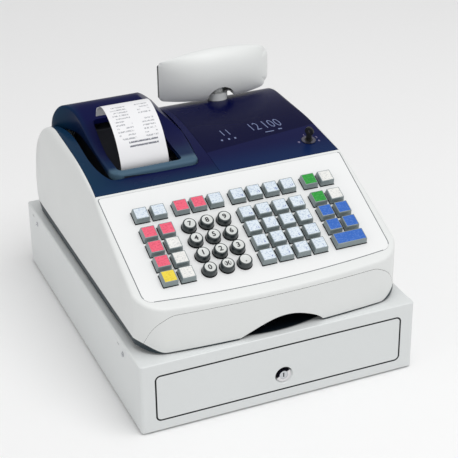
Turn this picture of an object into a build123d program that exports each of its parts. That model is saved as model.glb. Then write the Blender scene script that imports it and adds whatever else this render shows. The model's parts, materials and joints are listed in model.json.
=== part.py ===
from build123d import *
import math
import os

os.makedirs("parts", exist_ok=True)

# A ticket register: an electronic till with a receipt printer, standing on its cash drawer.
# Millimetres, +Z up, operator at -Y. The origin is on the floor under the middle of the cabinet.

# ---------------------------------------------------------------- drawer cabinet
CAB_W = 330.0
CAB_D = 423.0
CAB_H = 87.0
FOOT_H = 2.5
FOOT_R = 8.0
SHEET = 1.2
FRAME_DEPTH = 10.0
FRAME_SIDE = 17.0
FRAME_TOP = 15.0
FRAME_BOTTOM = 12.0
FRAME_EDGE_R = 4.0
FRONT_CORNER_R = 6.0
FRONT_GAP = 0.8
FRONT_THICK = 8.0
FRONT_Y = -CAB_D / 2
REAR_Y = CAB_D / 2
BOTTOM_Z = FOOT_H
INNER_X = CAB_W / 2 - SHEET
OPEN_X = CAB_W / 2 - FRAME_SIDE
OPEN_Z0 = BOTTOM_Z + FRAME_BOTTOM
OPEN_Z1 = CAB_H - FRAME_TOP

# ---------------------------------------------------------------- drawer tray and its slides
TRAY_HALF = 136.0
TRAY_REAR_Y = 168.0
TRAY_Z0 = OPEN_Z0 + 1.5
TRAY_HEIGHT = 46.0
TRAY_FRONT_Y = FRONT_Y + FRONT_THICK
FLANGE_X = OPEN_X - 2.0
FLANGE_Z = 41.0
RAIL_SHEET = 1.5
RAIL_INNER_X = 150.5
RAIL_Z0 = 10.5
TRAY_ROLLER_R = 7.0
CAB_ROLLER_R = 6.0
ROLLER_GAP = 0.3
ROLLER_W = 7.0
PIN_R = 2.0
RUN_FIT = 0.05
CAB_ROLLER_Y = -186.0

# ---------------------------------------------------------------- drawer lock and latch
LOCK_X = 3.0
LOCK_Z = 32.6
LOCK_FLANGE_R = 8.5
LOCK_BARREL_R = 7.0
LOCK_PLUG_R = 5.0
LOCK_DEPTH = 20.0
LOCK_DIMPLE_R = 11.0
LOCK_DIMPLE = 2.5
KEY_SLOT = (1.4, 5.6)
HOOK_Y = 192.0
HOOK_Z = 54.0
HOOK_RAISE = 18.0
SPRING_R = 5.5
SPRING_WIRE_R = 0.8
SPRING_X = 70.0
SPRING_Z = 36.0
SPRING_TURNS = 7

# ---------------------------------------------------------------- till insert
TILL_WALL = 2.0
TILL_CLEAR = 0.3
TILL_HEIGHT = 46.0
BAYS = 4
CUP_LENGTH = 52.0
CUP_DEPTH = 28.0
BILL_LENGTH = 168.0
BAY_DEPTH = TILL_HEIGHT - TILL_WALL
CLIP_ROD_R = 1.5
CLIP_ARM = 74.0
CLIP_DROP = 30.0
CLIP_W = 22.0
CLIP_THICK = 2.0

# ---------------------------------------------------------------- register body
WALL = 3.0
SEAM_GAP = 0.4
BORDER_Y = -44.5
BORDER_Z = 208.25
DECK_ANGLE = 23.3
BODY_HALF = 157.6
BODY_FRONT_Y = -204.5
PLAN_SPARE = 0.8
BODY_REAR_Y = 198.0
CORNER_R = 36.0
REAR_CORNER_R = 20.0
BODY_BOTTOM = 90.0
FLOOR_Z = BODY_BOTTOM + WALL
SEAM_Z = 134.0
SEAM_LOW = 92.0
EDGE_R = 4.0
PLINTH_INSET = 9.0
PLINTH_FRONT_Y = -172.0
COVER_THICK = 2.5
COVER_REAR_Y = 172.0
COVER_GAP = 0.3
LEDGE_WIDTH = 3.5
CORNER_STEPS = 8
CORNER_TURN = math.radians(82)
REAR_SPARE = 0.4
UNDER_Y = 193.0
UNDER_Z = 101.5
UNDER_FOOT_Y = 182.0
UPRIGHT_Z = 132.0
REAR_SCREW_Z = 126.0
INLET_X = 88.0
INLET_Z = 122.0
INLET_W = 19.0
INLET_H = 10.4
INLET_DEPTH = 18.0
INLET_WALL = 1.2
INLET_FLANGE = 2.2
INLET_LIP = 2.0
INLET_FIT = 0.3
INLET_PIN_X = 4.3
INLET_PIN_R = 1.2
DECK_SLOPE = math.tan(math.radians(DECK_ANGLE))
DECK = Plane(
    origin=(0, BORDER_Y, BORDER_Z),
    x_dir=(1, 0, 0),
    z_dir=(0, -math.sin(math.radians(DECK_ANGLE)), math.cos(math.radians(DECK_ANGLE))),
)

# ---------------------------------------------------------------- keyboard
PITCH_U = 20.73
PITCH_V = 20.99
FIRST_S = 40.2
FIRST_X = -112.0
CLUSTER_GAPS = (5.7, 6.0, 6.6)
TOP_ROW_GAP = 6.4
KEY_BASE = 17.2
KEY_TAPER = 11.0
KEY_LIFT = 0.8
KEY_HEIGHT = 7.4
KEY_TRAVEL = 3.2
KEY_STEM_R = 2.4
KEY_HOLE_CLEAR = 0.5
ROUND_KEY_R = 8.5
OVERLAY_THICK = 0.8
OVERLAY_HALF_TOP = 149.6
OVERLAY_HALF_LOW = 147.0
OVERLAY_TOP_S = 3.5
OVERLAY_LOW_S = 158.5
OVERLAY_BOW = 3.5
KEY_FRAME_DROP = 7.5
KEY_FRAME_THICK = 1.5
KEY_BOSS = 8.0
BOARD_THICK = 1.6

# ---------------------------------------------------------------- printer
PCOV_FRONT_Y = -20.0
PCOV_LEFT = -122.0
PCOV_RIGHT = -17.0
PCOV_RIGHT_REAR = -8.5
PCOV_FLARE = -139.5
PCOV_REAR_Y = 163.2
PCOV_EDGE_R = 3.0
HINGE_Y = 166.5
HINGE_Z = 206.8
RIM_Z = 218.6
HUMP_Y = 125.0
HUMP_Z = 246.5
WELL_LEFT = -112.0
WELL_LEFT_REAR = -107.0
WELL_RIGHT = -34.0
WELL_FRONT_Y = -12.5
WELL_REAR_Y = 94.0
LIP_DEPTH = 6.0
BAND_X = -133.0
PAPER_X0 = -105.5
PAPER_W = 58.0
PAPER_THICK = 0.3
TICKET_GAP = 0.3
ROLL_Y = 118.0
ROLL_Z = 196.0
ROLL_R = 32.0
ROLL_CORE_R = 8.0
CRADLE_R = 34.0
PLATEN_Y = 6.0
PLATEN_Z = 195.0
PLATEN_R = 6.0
GEAR_MODULE = 0.8
PLATEN_TEETH = 18
DRIVE_TEETH = 12
GEAR_BACKLASH = 0.25
PFRAME_X0 = -112.0
PFRAME_X1 = -41.0
PFRAME_WALL = 3.0
COVER_KNUCKLES = ((-118, -104), (-46, -32))
BEZEL_KNUCKLES = ((-103.7, -99), (-51, -46.3))
HINGE_R = 2.6
HINGE_PIN_R = 1.4

# ---------------------------------------------------------------- displays
POST_X = 70.0
POST_Y = 133.0
POST_R = 12.5
POST_SPIGOT_R = 7.0
POST_TOP_Z = 230.0
POST_SPIGOT_Z = 262.0
POST_LOW_Z = 112.0
CD_HALF = 73.5
CD_REAR_Y = 144.0
CD_DEPTH = 23.0
CD_END_DEPTH = 1.0
CD_BOTTOM_Z = 224.4
CD_TOP_Z = 285.7
CD_CROWN = 10.7
CD_WALL = 2.5
CD_EDGE_R = 3.0
CD_NOTCH_R = 19.0
CD_WINDOW = 8.0
CD_WINDOW_TOP = 280.0
CD_WINDOW_EDGE = 3.5
CD_PANE = 2.0
CD_POCKET = 66.0
MODE_X = 125.0
MODE_Y = -16.0
MODE_R = 8.0
MODE_ROTOR_R = 5.0

DRAWER_MID_Z = (OPEN_Z0 + OPEN_Z1) / 2


# ================================================================ helpers
OFFSET_STEPS = 24


def box(x0, x1, y0, y1, z0, z1):
    """A block given by its limits."""
    return Pos((x0 + x1) / 2, (y0 + y1) / 2, (z0 + z1) / 2) * Box(x1 - x0, y1 - y0, z1 - z0)


def rod_x(x0, x1, y, z, r):
    """A round bar along X."""
    return Pos((x0 + x1) / 2, y, z) * Rot(0, 90, 0) * Cylinder(r, x1 - x0)


def rod_y(x, y0, y1, z, r):
    """A round bar along Y."""
    return Pos(x, (y0 + y1) / 2, z) * Rot(90, 0, 0) * Cylinder(r, y1 - y0)


def rod_z(x, y, z0, z1, r):
    """A round bar along Z."""
    return Pos(x, y, (z0 + z1) / 2) * Cylinder(r, z1 - z0)


def prism_x(face, x0, x1):
    """A face drawn in (Y, Z), carried from x0 to x1."""
    return extrude(Pos(x0, 0, 0) * (Plane.YZ * face), x1 - x0, dir=(1, 0, 0))


def prism_y(face, y0, y1):
    """A face drawn in (X, Z), carried from y0 to y1."""
    return extrude(Pos(0, y0, 0) * (Plane.XZ * face), y1 - y0, dir=(0, 1, 0))


def prism_z(face, z0, z1):
    """A face drawn in (X, Y), carried from z0 to z1."""
    return extrude(Pos(0, 0, z0) * face, z1 - z0, dir=(0, 0, 1))


def closed(*edges):
    """A face inside a loop of edges."""
    return make_face(Curve() + list(edges))


def moved_in(face, inset):
    """A face with its outline moved in, each offset curve drawn again as a spline."""
    if not inset:
        return face
    edges = []
    for edge in offset(face, -inset, kind=Kind.INTERSECTION).edges():
        if edge.geom_type == GeomType.OFFSET:
            points = [edge @ (index / OFFSET_STEPS) for index in range(OFFSET_STEPS + 1)]
            edge = Spline(points, tangents=[edge % 0, edge % 1])
        edges.append(edge)
    return closed(*edges)


def union(shapes):
    """One shape of many."""
    shapes = list(shapes)
    return shapes[0].fuse(*shapes[1:]) if len(shapes) > 1 else shapes[0]


def group(shapes):
    """Separate solids kept in one node."""
    solids = []
    for shape in shapes:
        solids += shape.solids()
    return Compound(solids)


# ================================================================ body envelope
def side_face(inset=0.0):
    """The body's outline seen from its side, in (Y, Z), moved in by the wall."""
    front = BODY_FRONT_Y - 12.0
    deck_front_z = BORDER_Z + (front - BORDER_Y) * DECK_SLOPE
    top = Spline(
        [(BORDER_Y, BORDER_Z), (-20, 212.4), (8, 216.4), (50, 221.0), (91, 222.8), (120, 221.2),
         (143, 216.3), (165, 203.5), (181, 185.5), (191.5, 162), (BODY_REAR_Y - 0.8, 138),
         (BODY_REAR_Y, UPRIGHT_Z)],
        tangents=[(1, 0.17), (0, -1)],
    )
    under = Polyline([(BODY_REAR_Y, UPRIGHT_Z), (BODY_REAR_Y, UNDER_Z + 9), (UNDER_Y, UNDER_Z),
                      (UNDER_FOOT_Y, BODY_BOTTOM), (-60, BODY_BOTTOM)])
    lift = Spline(
        [(-60, BODY_BOTTOM), (-130, 92.4), (-165, 94.6), (-186, 92.4), (-198, 88.6), (front, CAB_H + 0.4)],
        tangents=[(-1, 0), (-1, 0)],
    )
    nose = Polyline([(front, CAB_H + 0.4), (front, deck_front_z), (BORDER_Y, BORDER_Z)])
    face = closed(top, under, lift, nose)
    return moved_in(face, inset)


def section_face(inset=0.0):
    """The body's outline seen from the front, in (X, Z): upright sides that lean in at the top."""
    right = Spline(
        [(BODY_HALF - 1.6, 84), (BODY_HALF, 120), (BODY_HALF - 0.3, 150), (BODY_HALF - 2.0, 185),
         (BODY_HALF - 4.6, 206), (BODY_HALF - 7.6, 216), (BODY_HALF - 16, 223)],
        tangents=[(0.1, 1), (-1, 0.25)],
    )
    left = right.mirror(Plane.YZ)
    top = Polyline([(BODY_HALF - 16, 223), (BODY_HALF - 60, 228), (-BODY_HALF + 60, 228),
                    (-BODY_HALF + 16, 223)])
    bottom = Line((-BODY_HALF + 1.6, 84), (BODY_HALF - 1.6, 84))
    face = closed(right, top, left, bottom)
    return moved_in(face, inset)


def plan_face(inset=0.0):
    """The body's outline seen from above, in (X, Y): a bowed front with large corners."""
    half = BODY_HALF + PLAN_SPARE
    bow = ThreePointArc((-half, BODY_FRONT_Y + 10), (0, BODY_FRONT_Y), (half, BODY_FRONT_Y + 10))
    sides = Polyline([(half, BODY_FRONT_Y + 10), (half, BODY_REAR_Y + 3),
                      (-half, BODY_REAR_Y + 3), (-half, BODY_FRONT_Y + 10)])
    face = closed(bow, sides)
    face = fillet(face.vertices().group_by(Axis.Y)[0], CORNER_R)
    return moved_in(face, inset)


def stepped_in(points, inset):
    """The inner points of a run, each moved in square to the run by the inset."""
    moved = []
    for before, here, after in zip(points[:-2], points[1:-1], points[2:]):
        run_y = after[0] - before[0]
        run_z = after[1] - before[1]
        length = math.hypot(run_y, run_z)
        moved.append((here[0] + inset * run_z / length, here[1] - inset * run_y / length))
    return moved


def rear_face(inset=0.0):
    """The rear's outline a hair outside the side outline, in (Y, Z), open to the front."""
    back = BODY_REAR_Y + REAR_SPARE
    shoulder = [(60, 223.8), (91, 223.6), (120, 222.2), (143.6, 217.2), (165.7, 204.3), (181.8, 186.1),
                (192.3, 162.4), (BODY_REAR_Y - 0.4, 138), (back, UPRIGHT_Z), (back, UNDER_Z)]
    line = stepped_in(shoulder, inset)
    curve = Spline(line, tangents=[(1, 0), (0, -1)])
    top = line[0]
    low = line[-1]
    rest = Polyline([low, (low[0], UNDER_Z + 8.8), (low[0] - 4.6, UNDER_Z - 0.3),
                     (UNDER_FOOT_Y + REAR_SPARE - inset, BODY_BOTTOM - 0.4),
                     (UNDER_FOOT_Y + REAR_SPARE - inset, 60), (-300, 60), (-300, 300), (top[0], 300), top])
    return closed(curve, rest)


def rear_corners(inset=0.0):
    """A form that rounds the body's two rear corners at every height, and spares the rest."""
    face = rear_face(inset)
    flat = BODY_HALF + PLAN_SPARE - REAR_CORNER_R
    form = prism_x(face, -flat, flat)
    sections = []
    for step in range(CORNER_STEPS + 1):
        angle = CORNER_TURN * step / CORNER_STEPS
        plane = Plane((flat + (REAR_CORNER_R - inset) * math.sin(angle), 0, 0), x_dir=(0, 1, 0), z_dir=(1, 0, 0))
        forward = (REAR_CORNER_R - inset) * (1 - math.cos(angle))
        sections.append(plane * Pos(-forward, 0) * face)
    side = loft(sections)
    return form + side + side.mirror(Plane.YZ)


def envelope(inset=0.0):
    """The whole outer form of the register body, or the space inside its wall."""
    wide = BODY_HALF + 20
    solid = prism_x(side_face(inset), -wide, wide)
    solid = solid & prism_y(section_face(inset), BODY_FRONT_Y - 30, BODY_REAR_Y + 30)
    return solid & prism_z(plan_face(inset), 80, 260)


def region_face(inset=0.0):
    """The tinted cover's outline seen from above, between the white side walls."""
    front = BORDER_Y + inset
    rear = COVER_REAR_Y - inset
    edge = [(150.8, front), (148.7, -15), (147.5, 20), (146.7, 60), (145.7, 100), (145.0, 140), (144.5, rear)]
    right = Spline([(x - inset, y) for x, y in edge])
    return closed(
        right,
        Line((144.5 - inset, rear), (inset - 144.5, rear)),
        right.mirror(Plane.YZ),
        Line((inset - 150.8, front), (150.8 - inset, front)),
    )


def seam_prism(drop):
    """Everything below the line where the two halves of the case meet; drop lowers it."""
    curve = Spline(
        [(BODY_HALF - 5.6, SEAM_LOW), (148, 105), (138.6, 122.5), (126, 131.5), (112, SEAM_Z)],
        tangents=[(-0.2, 1), (-1, 0)],
    )
    flat = Line((112, SEAM_Z), (-112, SEAM_Z))
    left = curve.mirror(Plane.YZ)
    low = Polyline([(BODY_HALF - 5.6, SEAM_LOW), (200, SEAM_LOW), (200, 60), (-200, 60), (-200, SEAM_LOW),
                    (-BODY_HALF + 5.6, SEAM_LOW)])
    return Pos(0, 0, -drop) * prism_y(closed(curve, flat, left, low), -260, 260)


def rounded_envelope():
    """The outer form with its top edges rounded."""
    solid = envelope()
    edges = [
        e for e in solid.edges()
        if e.center().Z > 140 and not (e.bounding_box().size.X > 250 and abs(e.center().Y - BORDER_Y) < 1)
    ]
    return fillet(edges, EDGE_R) & rear_corners()


ENVELOPE = rounded_envelope()
INSIDE = envelope(WALL) & rear_corners(WALL)
COVER_INSIDE = envelope(COVER_THICK) & rear_corners(COVER_THICK)


# ================================================================ keyboard layout
def column_x(cluster, column):
    """The middle of a key column on the deck."""
    before = (0, 2, 5, 9)[cluster]
    return FIRST_X + (before + column) * PITCH_U + sum(CLUSTER_GAPS[:cluster])


def row_s(row):
    """The middle of a key row, measured down the deck from its upper border."""
    return FIRST_S + row * PITCH_V + (TOP_ROW_GAP if row else 0)


NUMBER_NAMES = (("7", "8", "9"), ("4", "5", "6"), ("1", "2", "3"), ("0", "00", "point"))


def key_places():
    """Each key as (node, x, s, columns wide, is round)."""
    places = []
    for column in range(2):
        places.append(("function_keys", column_x(0, column), row_s(0), 1, False))
        places.append(("payment_keys", column_x(3, column), row_s(0), 1, False))
    for column in range(3):
        places.append(("function_keys", column_x(1, column), row_s(0), 1, False))
    for column in range(4):
        places.append(("department_keys", column_x(2, column), row_s(0), 1, False))
    for row in range(1, 5):
        for column in range(2):
            places.append(("function_keys", column_x(0, column), row_s(row), 1, False))
            if row < 4:
                places.append(("payment_keys", column_x(3, column), row_s(row), 1, False))
        for column in range(3):
            name = "key_" + NUMBER_NAMES[row - 1][column]
            places.append((name, column_x(1, column), row_s(row), 1, True))
        for column in range(4):
            places.append(("department_keys", column_x(2, column), row_s(row), 1, False))
    middle = (column_x(3, 0) + column_x(3, 1)) / 2
    places.append(("total_key", middle, row_s(4), 2, False))
    return places


def on_deck(x, s, height=0.0):
    """A place on the keyboard deck: x across, s down the slope, height above it."""
    return DECK * Pos(x, -s, height)


def key_width(columns):
    """How wide a key cap is at its foot."""
    return KEY_BASE + (columns - 1) * PITCH_U


def square_key(columns):
    """A tapered cap on its stem; a wide key has two stems."""
    foot = RectangleRounded(key_width(columns), KEY_BASE, 1.4)
    cap = Pos(0, 0, KEY_LIFT) * extrude(foot, KEY_HEIGHT, taper=KEY_TAPER)
    key = cap
    for index in range(columns):
        x = (index - (columns - 1) / 2) * PITCH_U
        key = key + rod_z(x, 0, STEM_LOW, KEY_LIFT + 1.0, KEY_STEM_R)
    return key


def round_key():
    """A round number key with a dished top."""
    cap = Pos(0, 0, KEY_LIFT) * extrude(Circle(ROUND_KEY_R), KEY_HEIGHT, taper=7)
    dish_r = 34.0
    cap = cap - Pos(0, 0, KEY_LIFT + KEY_HEIGHT + dish_r - 0.7) * Sphere(dish_r)
    return cap + rod_z(0, 0, STEM_LOW, KEY_LIFT + 1.0, KEY_STEM_R)


STEM_LOW = -(KEY_FRAME_DROP + KEY_FRAME_THICK + 0.2)


def key_hole(columns, is_round, height):
    """The clearance that a key cap needs in the overlay."""
    if is_round:
        return Cylinder(ROUND_KEY_R + KEY_HOLE_CLEAR, height)
    return Box(key_width(columns) + 2 * KEY_HOLE_CLEAR, KEY_BASE + 2 * KEY_HOLE_CLEAR, height)


def keys():
    """Every key, gathered by node."""
    nodes = {}
    cache = {}
    for node, x, s, columns, is_round in key_places():
        kind = (columns, is_round)
        if kind not in cache:
            cache[kind] = round_key() if is_round else square_key(columns)
        nodes.setdefault(node, []).append(on_deck(x, s) * cache[kind])
    return {node: group(solids) for node, solids in nodes.items()}


def overlay_face(grow=0.0):
    """The keyboard panel's outline in the deck's own (x, -s)."""
    low_s = OVERLAY_LOW_S + OVERLAY_BOW - 9.5
    bow = ThreePointArc((OVERLAY_HALF_LOW, -low_s), (0, -(OVERLAY_LOW_S + 2.0)), (-OVERLAY_HALF_LOW, -low_s))
    sides = Polyline([(-OVERLAY_HALF_LOW, -low_s), (-OVERLAY_HALF_TOP, -OVERLAY_TOP_S),
                      (OVERLAY_HALF_TOP, -OVERLAY_TOP_S), (OVERLAY_HALF_LOW, -low_s)])
    face = closed(bow, sides)
    face = fillet(face.vertices().group_by(Axis.Y)[0], 12.0)
    face = fillet(face.vertices().group_by(Axis.Y)[-1], 2.5)
    return moved_in(face, -grow)


def keyboard_overlay():
    """The thin printed panel that the keys stand through."""
    plate = extrude(overlay_face(), -OVERLAY_THICK)
    holes = [Pos(x, -s, 0) * key_hole(columns, is_round, 4) for _, x, s, columns, is_round in key_places()]
    return DECK * plate.cut(*holes)


KEYS_U = 127.0
KEYS_S0 = 28.5
KEYS_S1 = 141.5


def key_opening():
    """The opening in the deck under the overlay."""
    middle = (KEYS_S0 + KEYS_S1) / 2
    return on_deck(0, middle, 0) * Box(2 * KEYS_U, KEYS_S1 - KEYS_S0, 30)


def key_frame():
    """The plate under the deck that guides every key stem, on posts up to the deck."""
    middle = (KEYS_S0 + KEYS_S1) / 2
    z_plate = -KEY_FRAME_DROP - KEY_FRAME_THICK / 2
    solids = [Pos(0, -middle, z_plate) * Box(2 * KEYS_U + 14, KEYS_S1 - KEYS_S0 + 14, KEY_FRAME_THICK)]
    bores = []
    boss_z = (-KEY_FRAME_DROP - 3.0) / 2
    for _, x, s, columns, _ in key_places():
        for index in range(columns):
            at = x + (index - (columns - 1) / 2) * PITCH_U
            solids.append(Pos(at, -s, boss_z) * Box(KEY_BOSS, KEY_BOSS, KEY_FRAME_DROP - 3.0))
            bores.append(Pos(at, -s, -KEY_FRAME_DROP) * Cylinder(KEY_STEM_R + RUN_FIT, 16))
    for x in (-KEYS_U - 3.5, -45, 45, KEYS_U + 3.5):
        for s in (KEYS_S0 - 3.5, KEYS_S1 + 3.5):
            solids.append(Pos(x, -s, -(KEY_FRAME_DROP + WALL) / 2) * Cylinder(3.0, KEY_FRAME_DROP - WALL))
    return DECK * union(solids).cut(*bores)


BOARD_TOP = -(KEY_FRAME_DROP + KEY_FRAME_THICK + KEY_TRAVEL + 1.0)


def keyboard_board():
    """The keyboard's circuit board, on spacers under the key frame."""
    middle = (KEYS_S0 + KEYS_S1) / 2
    z = BOARD_TOP - BOARD_THICK / 2
    board = Pos(0, -middle, z) * Box(2 * KEYS_U - 4, KEYS_S1 - KEYS_S0 - 2, BOARD_THICK)
    solids = [board]
    low = -(KEY_FRAME_DROP + KEY_FRAME_THICK)
    for x in (-KEYS_U + 5, -22, 45, KEYS_U - 5):
        for s in (KEYS_S0 + 4, KEYS_S1 - 4):
            solids.append(rod_z(x, -s, BOARD_TOP - 0.1, low, 2.0))
    return DECK * union(solids)


# ================================================================ case
def wave_face():
    """The wave-shaped opening in the front apron, in (X, Z)."""
    wave = Spline(
        [(-53, 86), (-40, 91.5), (-23, 98.7), (-5.5, 104.6), (14, 106.2), (36, 100.5), (55.5, 87), (57, 84)]
    )
    return closed(wave, Polyline([(57, 84), (57, 70), (-53, 70), (-53, 86)]))


BOSS_WALL = 3.5
FEET_PLACES = [(sx * (CAB_W / 2 - 28), sy * (CAB_D / 2 - 30)) for sx in (-1, 1) for sy in (-1, 1)]
TRANSFORMER = (92.0, 40.0)
MAIN_BOARD = (-20.0, -66.0)
STANDOFF = 8.0


def lower_case():
    """The pan with the front apron, the bosses that carry the inner parts and the post guide."""
    walls = (ENVELOPE - INSIDE) & seam_prism(0)
    walls = walls - prism_y(wave_face(), BODY_FRONT_Y - 20, BODY_FRONT_Y + 22)
    step = envelope(WALL + COVER_GAP) & box(-200, 200, -188.5, -186, 80, 112)
    step = step + (INSIDE & box(-60, 60, -188.5, -186, 80, 112))
    guide = rod_z(POST_X, POST_Y, FLOOR_Z - 1, 196, POST_R + BOSS_WALL)
    case = walls + step + guide
    for x in (MAIN_BOARD[0] - 70, MAIN_BOARD[0] + 70):
        for y in (MAIN_BOARD[1] - 45, MAIN_BOARD[1] + 45):
            case = case + rod_z(x, y, FLOOR_Z - 1, FLOOR_Z + STANDOFF, 3.5)
    case = case - rod_z(POST_X, POST_Y, FLOOR_Z + 5, 260, POST_R + RUN_FIT)
    return case - inlet_block(INLET_FIT, BODY_REAR_Y - INLET_DEPTH - 2, BODY_REAR_Y + 5)


def inlet_block(grow, y0, y1):
    """A block of the mains inlet's own outline, grown all round, between two depths."""
    wide = INLET_W / 2 + grow
    high = INLET_H / 2 + grow
    return box(INLET_X - wide, INLET_X + wide, y0, y1, INLET_Z - high, INLET_Z + high)


def power_inlet():
    """The mains inlet in the rear of the case: a flanged socket with two pins."""
    flange = inlet_block(INLET_FLANGE, BODY_REAR_Y, BODY_REAR_Y + INLET_LIP)
    body = inlet_block(0, BODY_REAR_Y - INLET_DEPTH, BODY_REAR_Y + 0.1)
    hollow = inlet_block(-INLET_WALL, BODY_REAR_Y - INLET_DEPTH + 4, BODY_REAR_Y + 5)
    inlet = flange + body - hollow
    for x in (INLET_X - INLET_PIN_X, INLET_X + INLET_PIN_X):
        inlet = inlet + rod_y(x, BODY_REAR_Y - INLET_DEPTH + 3, BODY_REAR_Y - 2, INLET_Z, INLET_PIN_R)
    return inlet


def upper_case():
    """The white shell: side walls, keyboard deck and rear, with a ledge under the tinted covers."""
    shell = (ENVELOPE - INSIDE) - seam_prism(-SEAM_GAP)
    shell = shell - prism_z(region_face(), 150, 260)
    ring = prism_z(region_face(-0.5), 150, 260) - prism_z(region_face(LEDGE_WIDTH), 150, 260)
    ledge = (COVER_INSIDE & ring) - envelope(COVER_THICK + 2.0)
    shell = shell + ledge
    shell = shell - key_opening()
    return shell - DECK * extrude(overlay_face(COVER_GAP), -OVERLAY_THICK)


def base_chassis():
    """The dark plinth between the register and its drawer cabinet."""
    plate = prism_z(plan_face(PLINTH_INSET), CAB_H, BODY_BOTTOM)
    return plate & box(-200, 200, PLINTH_FRONT_Y, UNDER_FOOT_Y - 3, 80, 100)


def cover_blank():
    """The tinted skin that both covers are parts of."""
    return (ENVELOPE - COVER_INSIDE) & prism_z(region_face(COVER_GAP), 150, 260)


SEAM_X = 0.2


def display_window():
    """The tinted cover over the operator's display, right of the middle seam."""
    skin = cover_blank() & box(SEAM_X, 200, -60, 200, 150, 260)
    skin = skin - rod_z(POST_X, POST_Y, 150, 260, POST_R + 0.8)
    return skin - MODE_PLANE * Cylinder(MODE_R - 1.0 + COVER_GAP, 20)


def printer_gate_face():
    """The opening for the printer cover, from above: its left side leaves the finger gap."""
    left = Spline(
        [(-116, PCOV_FRONT_Y - 0.7), (-127, -12), (BAND_X, 12), (BAND_X, 90), (-135.3, 119), (-138.6, 136),
         (PCOV_FLARE - 1.5, 150), (PCOV_FLARE - 1.7, PCOV_REAR_Y + 1.0)],
        tangents=[(-1, 0), (-0.1, 1)],
    )
    rest = Polyline([(PCOV_FLARE - 1.7, PCOV_REAR_Y + 1.0), (PCOV_RIGHT_REAR + 0.5, PCOV_REAR_Y + 1.0),
                     (PCOV_RIGHT_REAR + 0.5, 60), (-10.2, 25), (-13.4, 0), (-16.4, PCOV_FRONT_Y - 0.7),
                     (-116, PCOV_FRONT_Y - 0.7)])
    face = closed(left, rest)
    corner = face.vertices().sort_by_distance((-16.4, PCOV_FRONT_Y - 0.7, 0))[0]
    return fillet(corner, 9.0)


def printer_cover_plan(inset=0.0):
    """The printer cover's outline from above: its left side flares out at the rear."""
    left = Spline(
        [(PCOV_LEFT, 96), (-125.6, 118), (-133.5, 138), (PCOV_FLARE + 0.5, 153), (PCOV_FLARE, PCOV_REAR_Y)],
        tangents=[(0, 1), (0, 1)],
    )
    rest = Polyline([(PCOV_FLARE, PCOV_REAR_Y), (PCOV_RIGHT_REAR, PCOV_REAR_Y), (PCOV_RIGHT_REAR, 60),
                     (-10.9, 25), (-14.2, 0), (PCOV_RIGHT, PCOV_FRONT_Y), (PCOV_LEFT, PCOV_FRONT_Y),
                     (PCOV_LEFT, 96)])
    face = closed(left, rest)
    for corner, radius in (((PCOV_RIGHT, PCOV_FRONT_Y, 0), 8.5), ((PCOV_LEFT, PCOV_FRONT_Y, 0), 14.0)):
        face = fillet(face.vertices().sort_by_distance(corner)[0], radius)
    return moved_in(face, inset)


def hump_face(inset=0.0):
    """The printer cover's outline from its side: a low rim in front, a hump over the roll."""
    top = Spline(
        [(PCOV_FRONT_Y + 3.5, RIM_Z), (15, RIM_Z + 1.0), (42, 222.4), (66, 228.2), (90, 236.6), (110, 243.6),
         (HUMP_Y, HUMP_Z), (140, 242.6), (153, 229), (PCOV_REAR_Y, 205)],
        tangents=[(1, 0), (0.25, -1)],
    )
    rest = Polyline([(PCOV_REAR_Y, 205), (PCOV_REAR_Y, 190), (PCOV_FRONT_Y, 190), (PCOV_FRONT_Y, RIM_Z - 2.6),
                     (PCOV_FRONT_Y + 3.5, RIM_Z)])
    face = closed(top, rest)
    return moved_in(face, inset)


def hump_section(inset=0.0):
    """The printer cover's outline from the front: a rounded left shoulder and a sloping right flank."""
    shoulder = Spline(
        [(-143.5, 212), (-142.6, 228), (-138, 239.5), (-128, 246.2), (-112, 248)],
        tangents=[(0, 1), (1, 0)],
    )
    flank = Spline([(-46, 248), (-34, 243.5), (-20, 232), (-3.0, 215.5)], tangents=[(1, 0), (0.75, -0.7)])
    face = closed(shoulder, Line((-112, 248), (-46, 248)), flank,
                  Polyline([(-3.0, 215.5), (-3.0, 185), (-143.5, 185), (-143.5, 212)]))
    return moved_in(face, inset)


def hump(inset=0.0):
    """The printer cover's outer form, or the space inside its skin."""
    solid = prism_z(printer_cover_plan(inset), 185, 260) & prism_x(hump_face(inset), -160, 10)
    return solid & prism_y(hump_section(inset), -40, 180)


def well_face(grow=0.0):
    """The well that the ticket comes out of, from above."""
    points = [(WELL_LEFT, WELL_FRONT_Y), (WELL_RIGHT, WELL_FRONT_Y), (WELL_RIGHT, 50), (-44, WELL_REAR_Y),
              (WELL_LEFT_REAR, WELL_REAR_Y), (WELL_LEFT, 28), (WELL_LEFT, WELL_FRONT_Y)]
    face = closed(Polyline(points))
    face = fillet(face.vertices(), 6.0)
    return moved_in(face, -grow)


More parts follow.
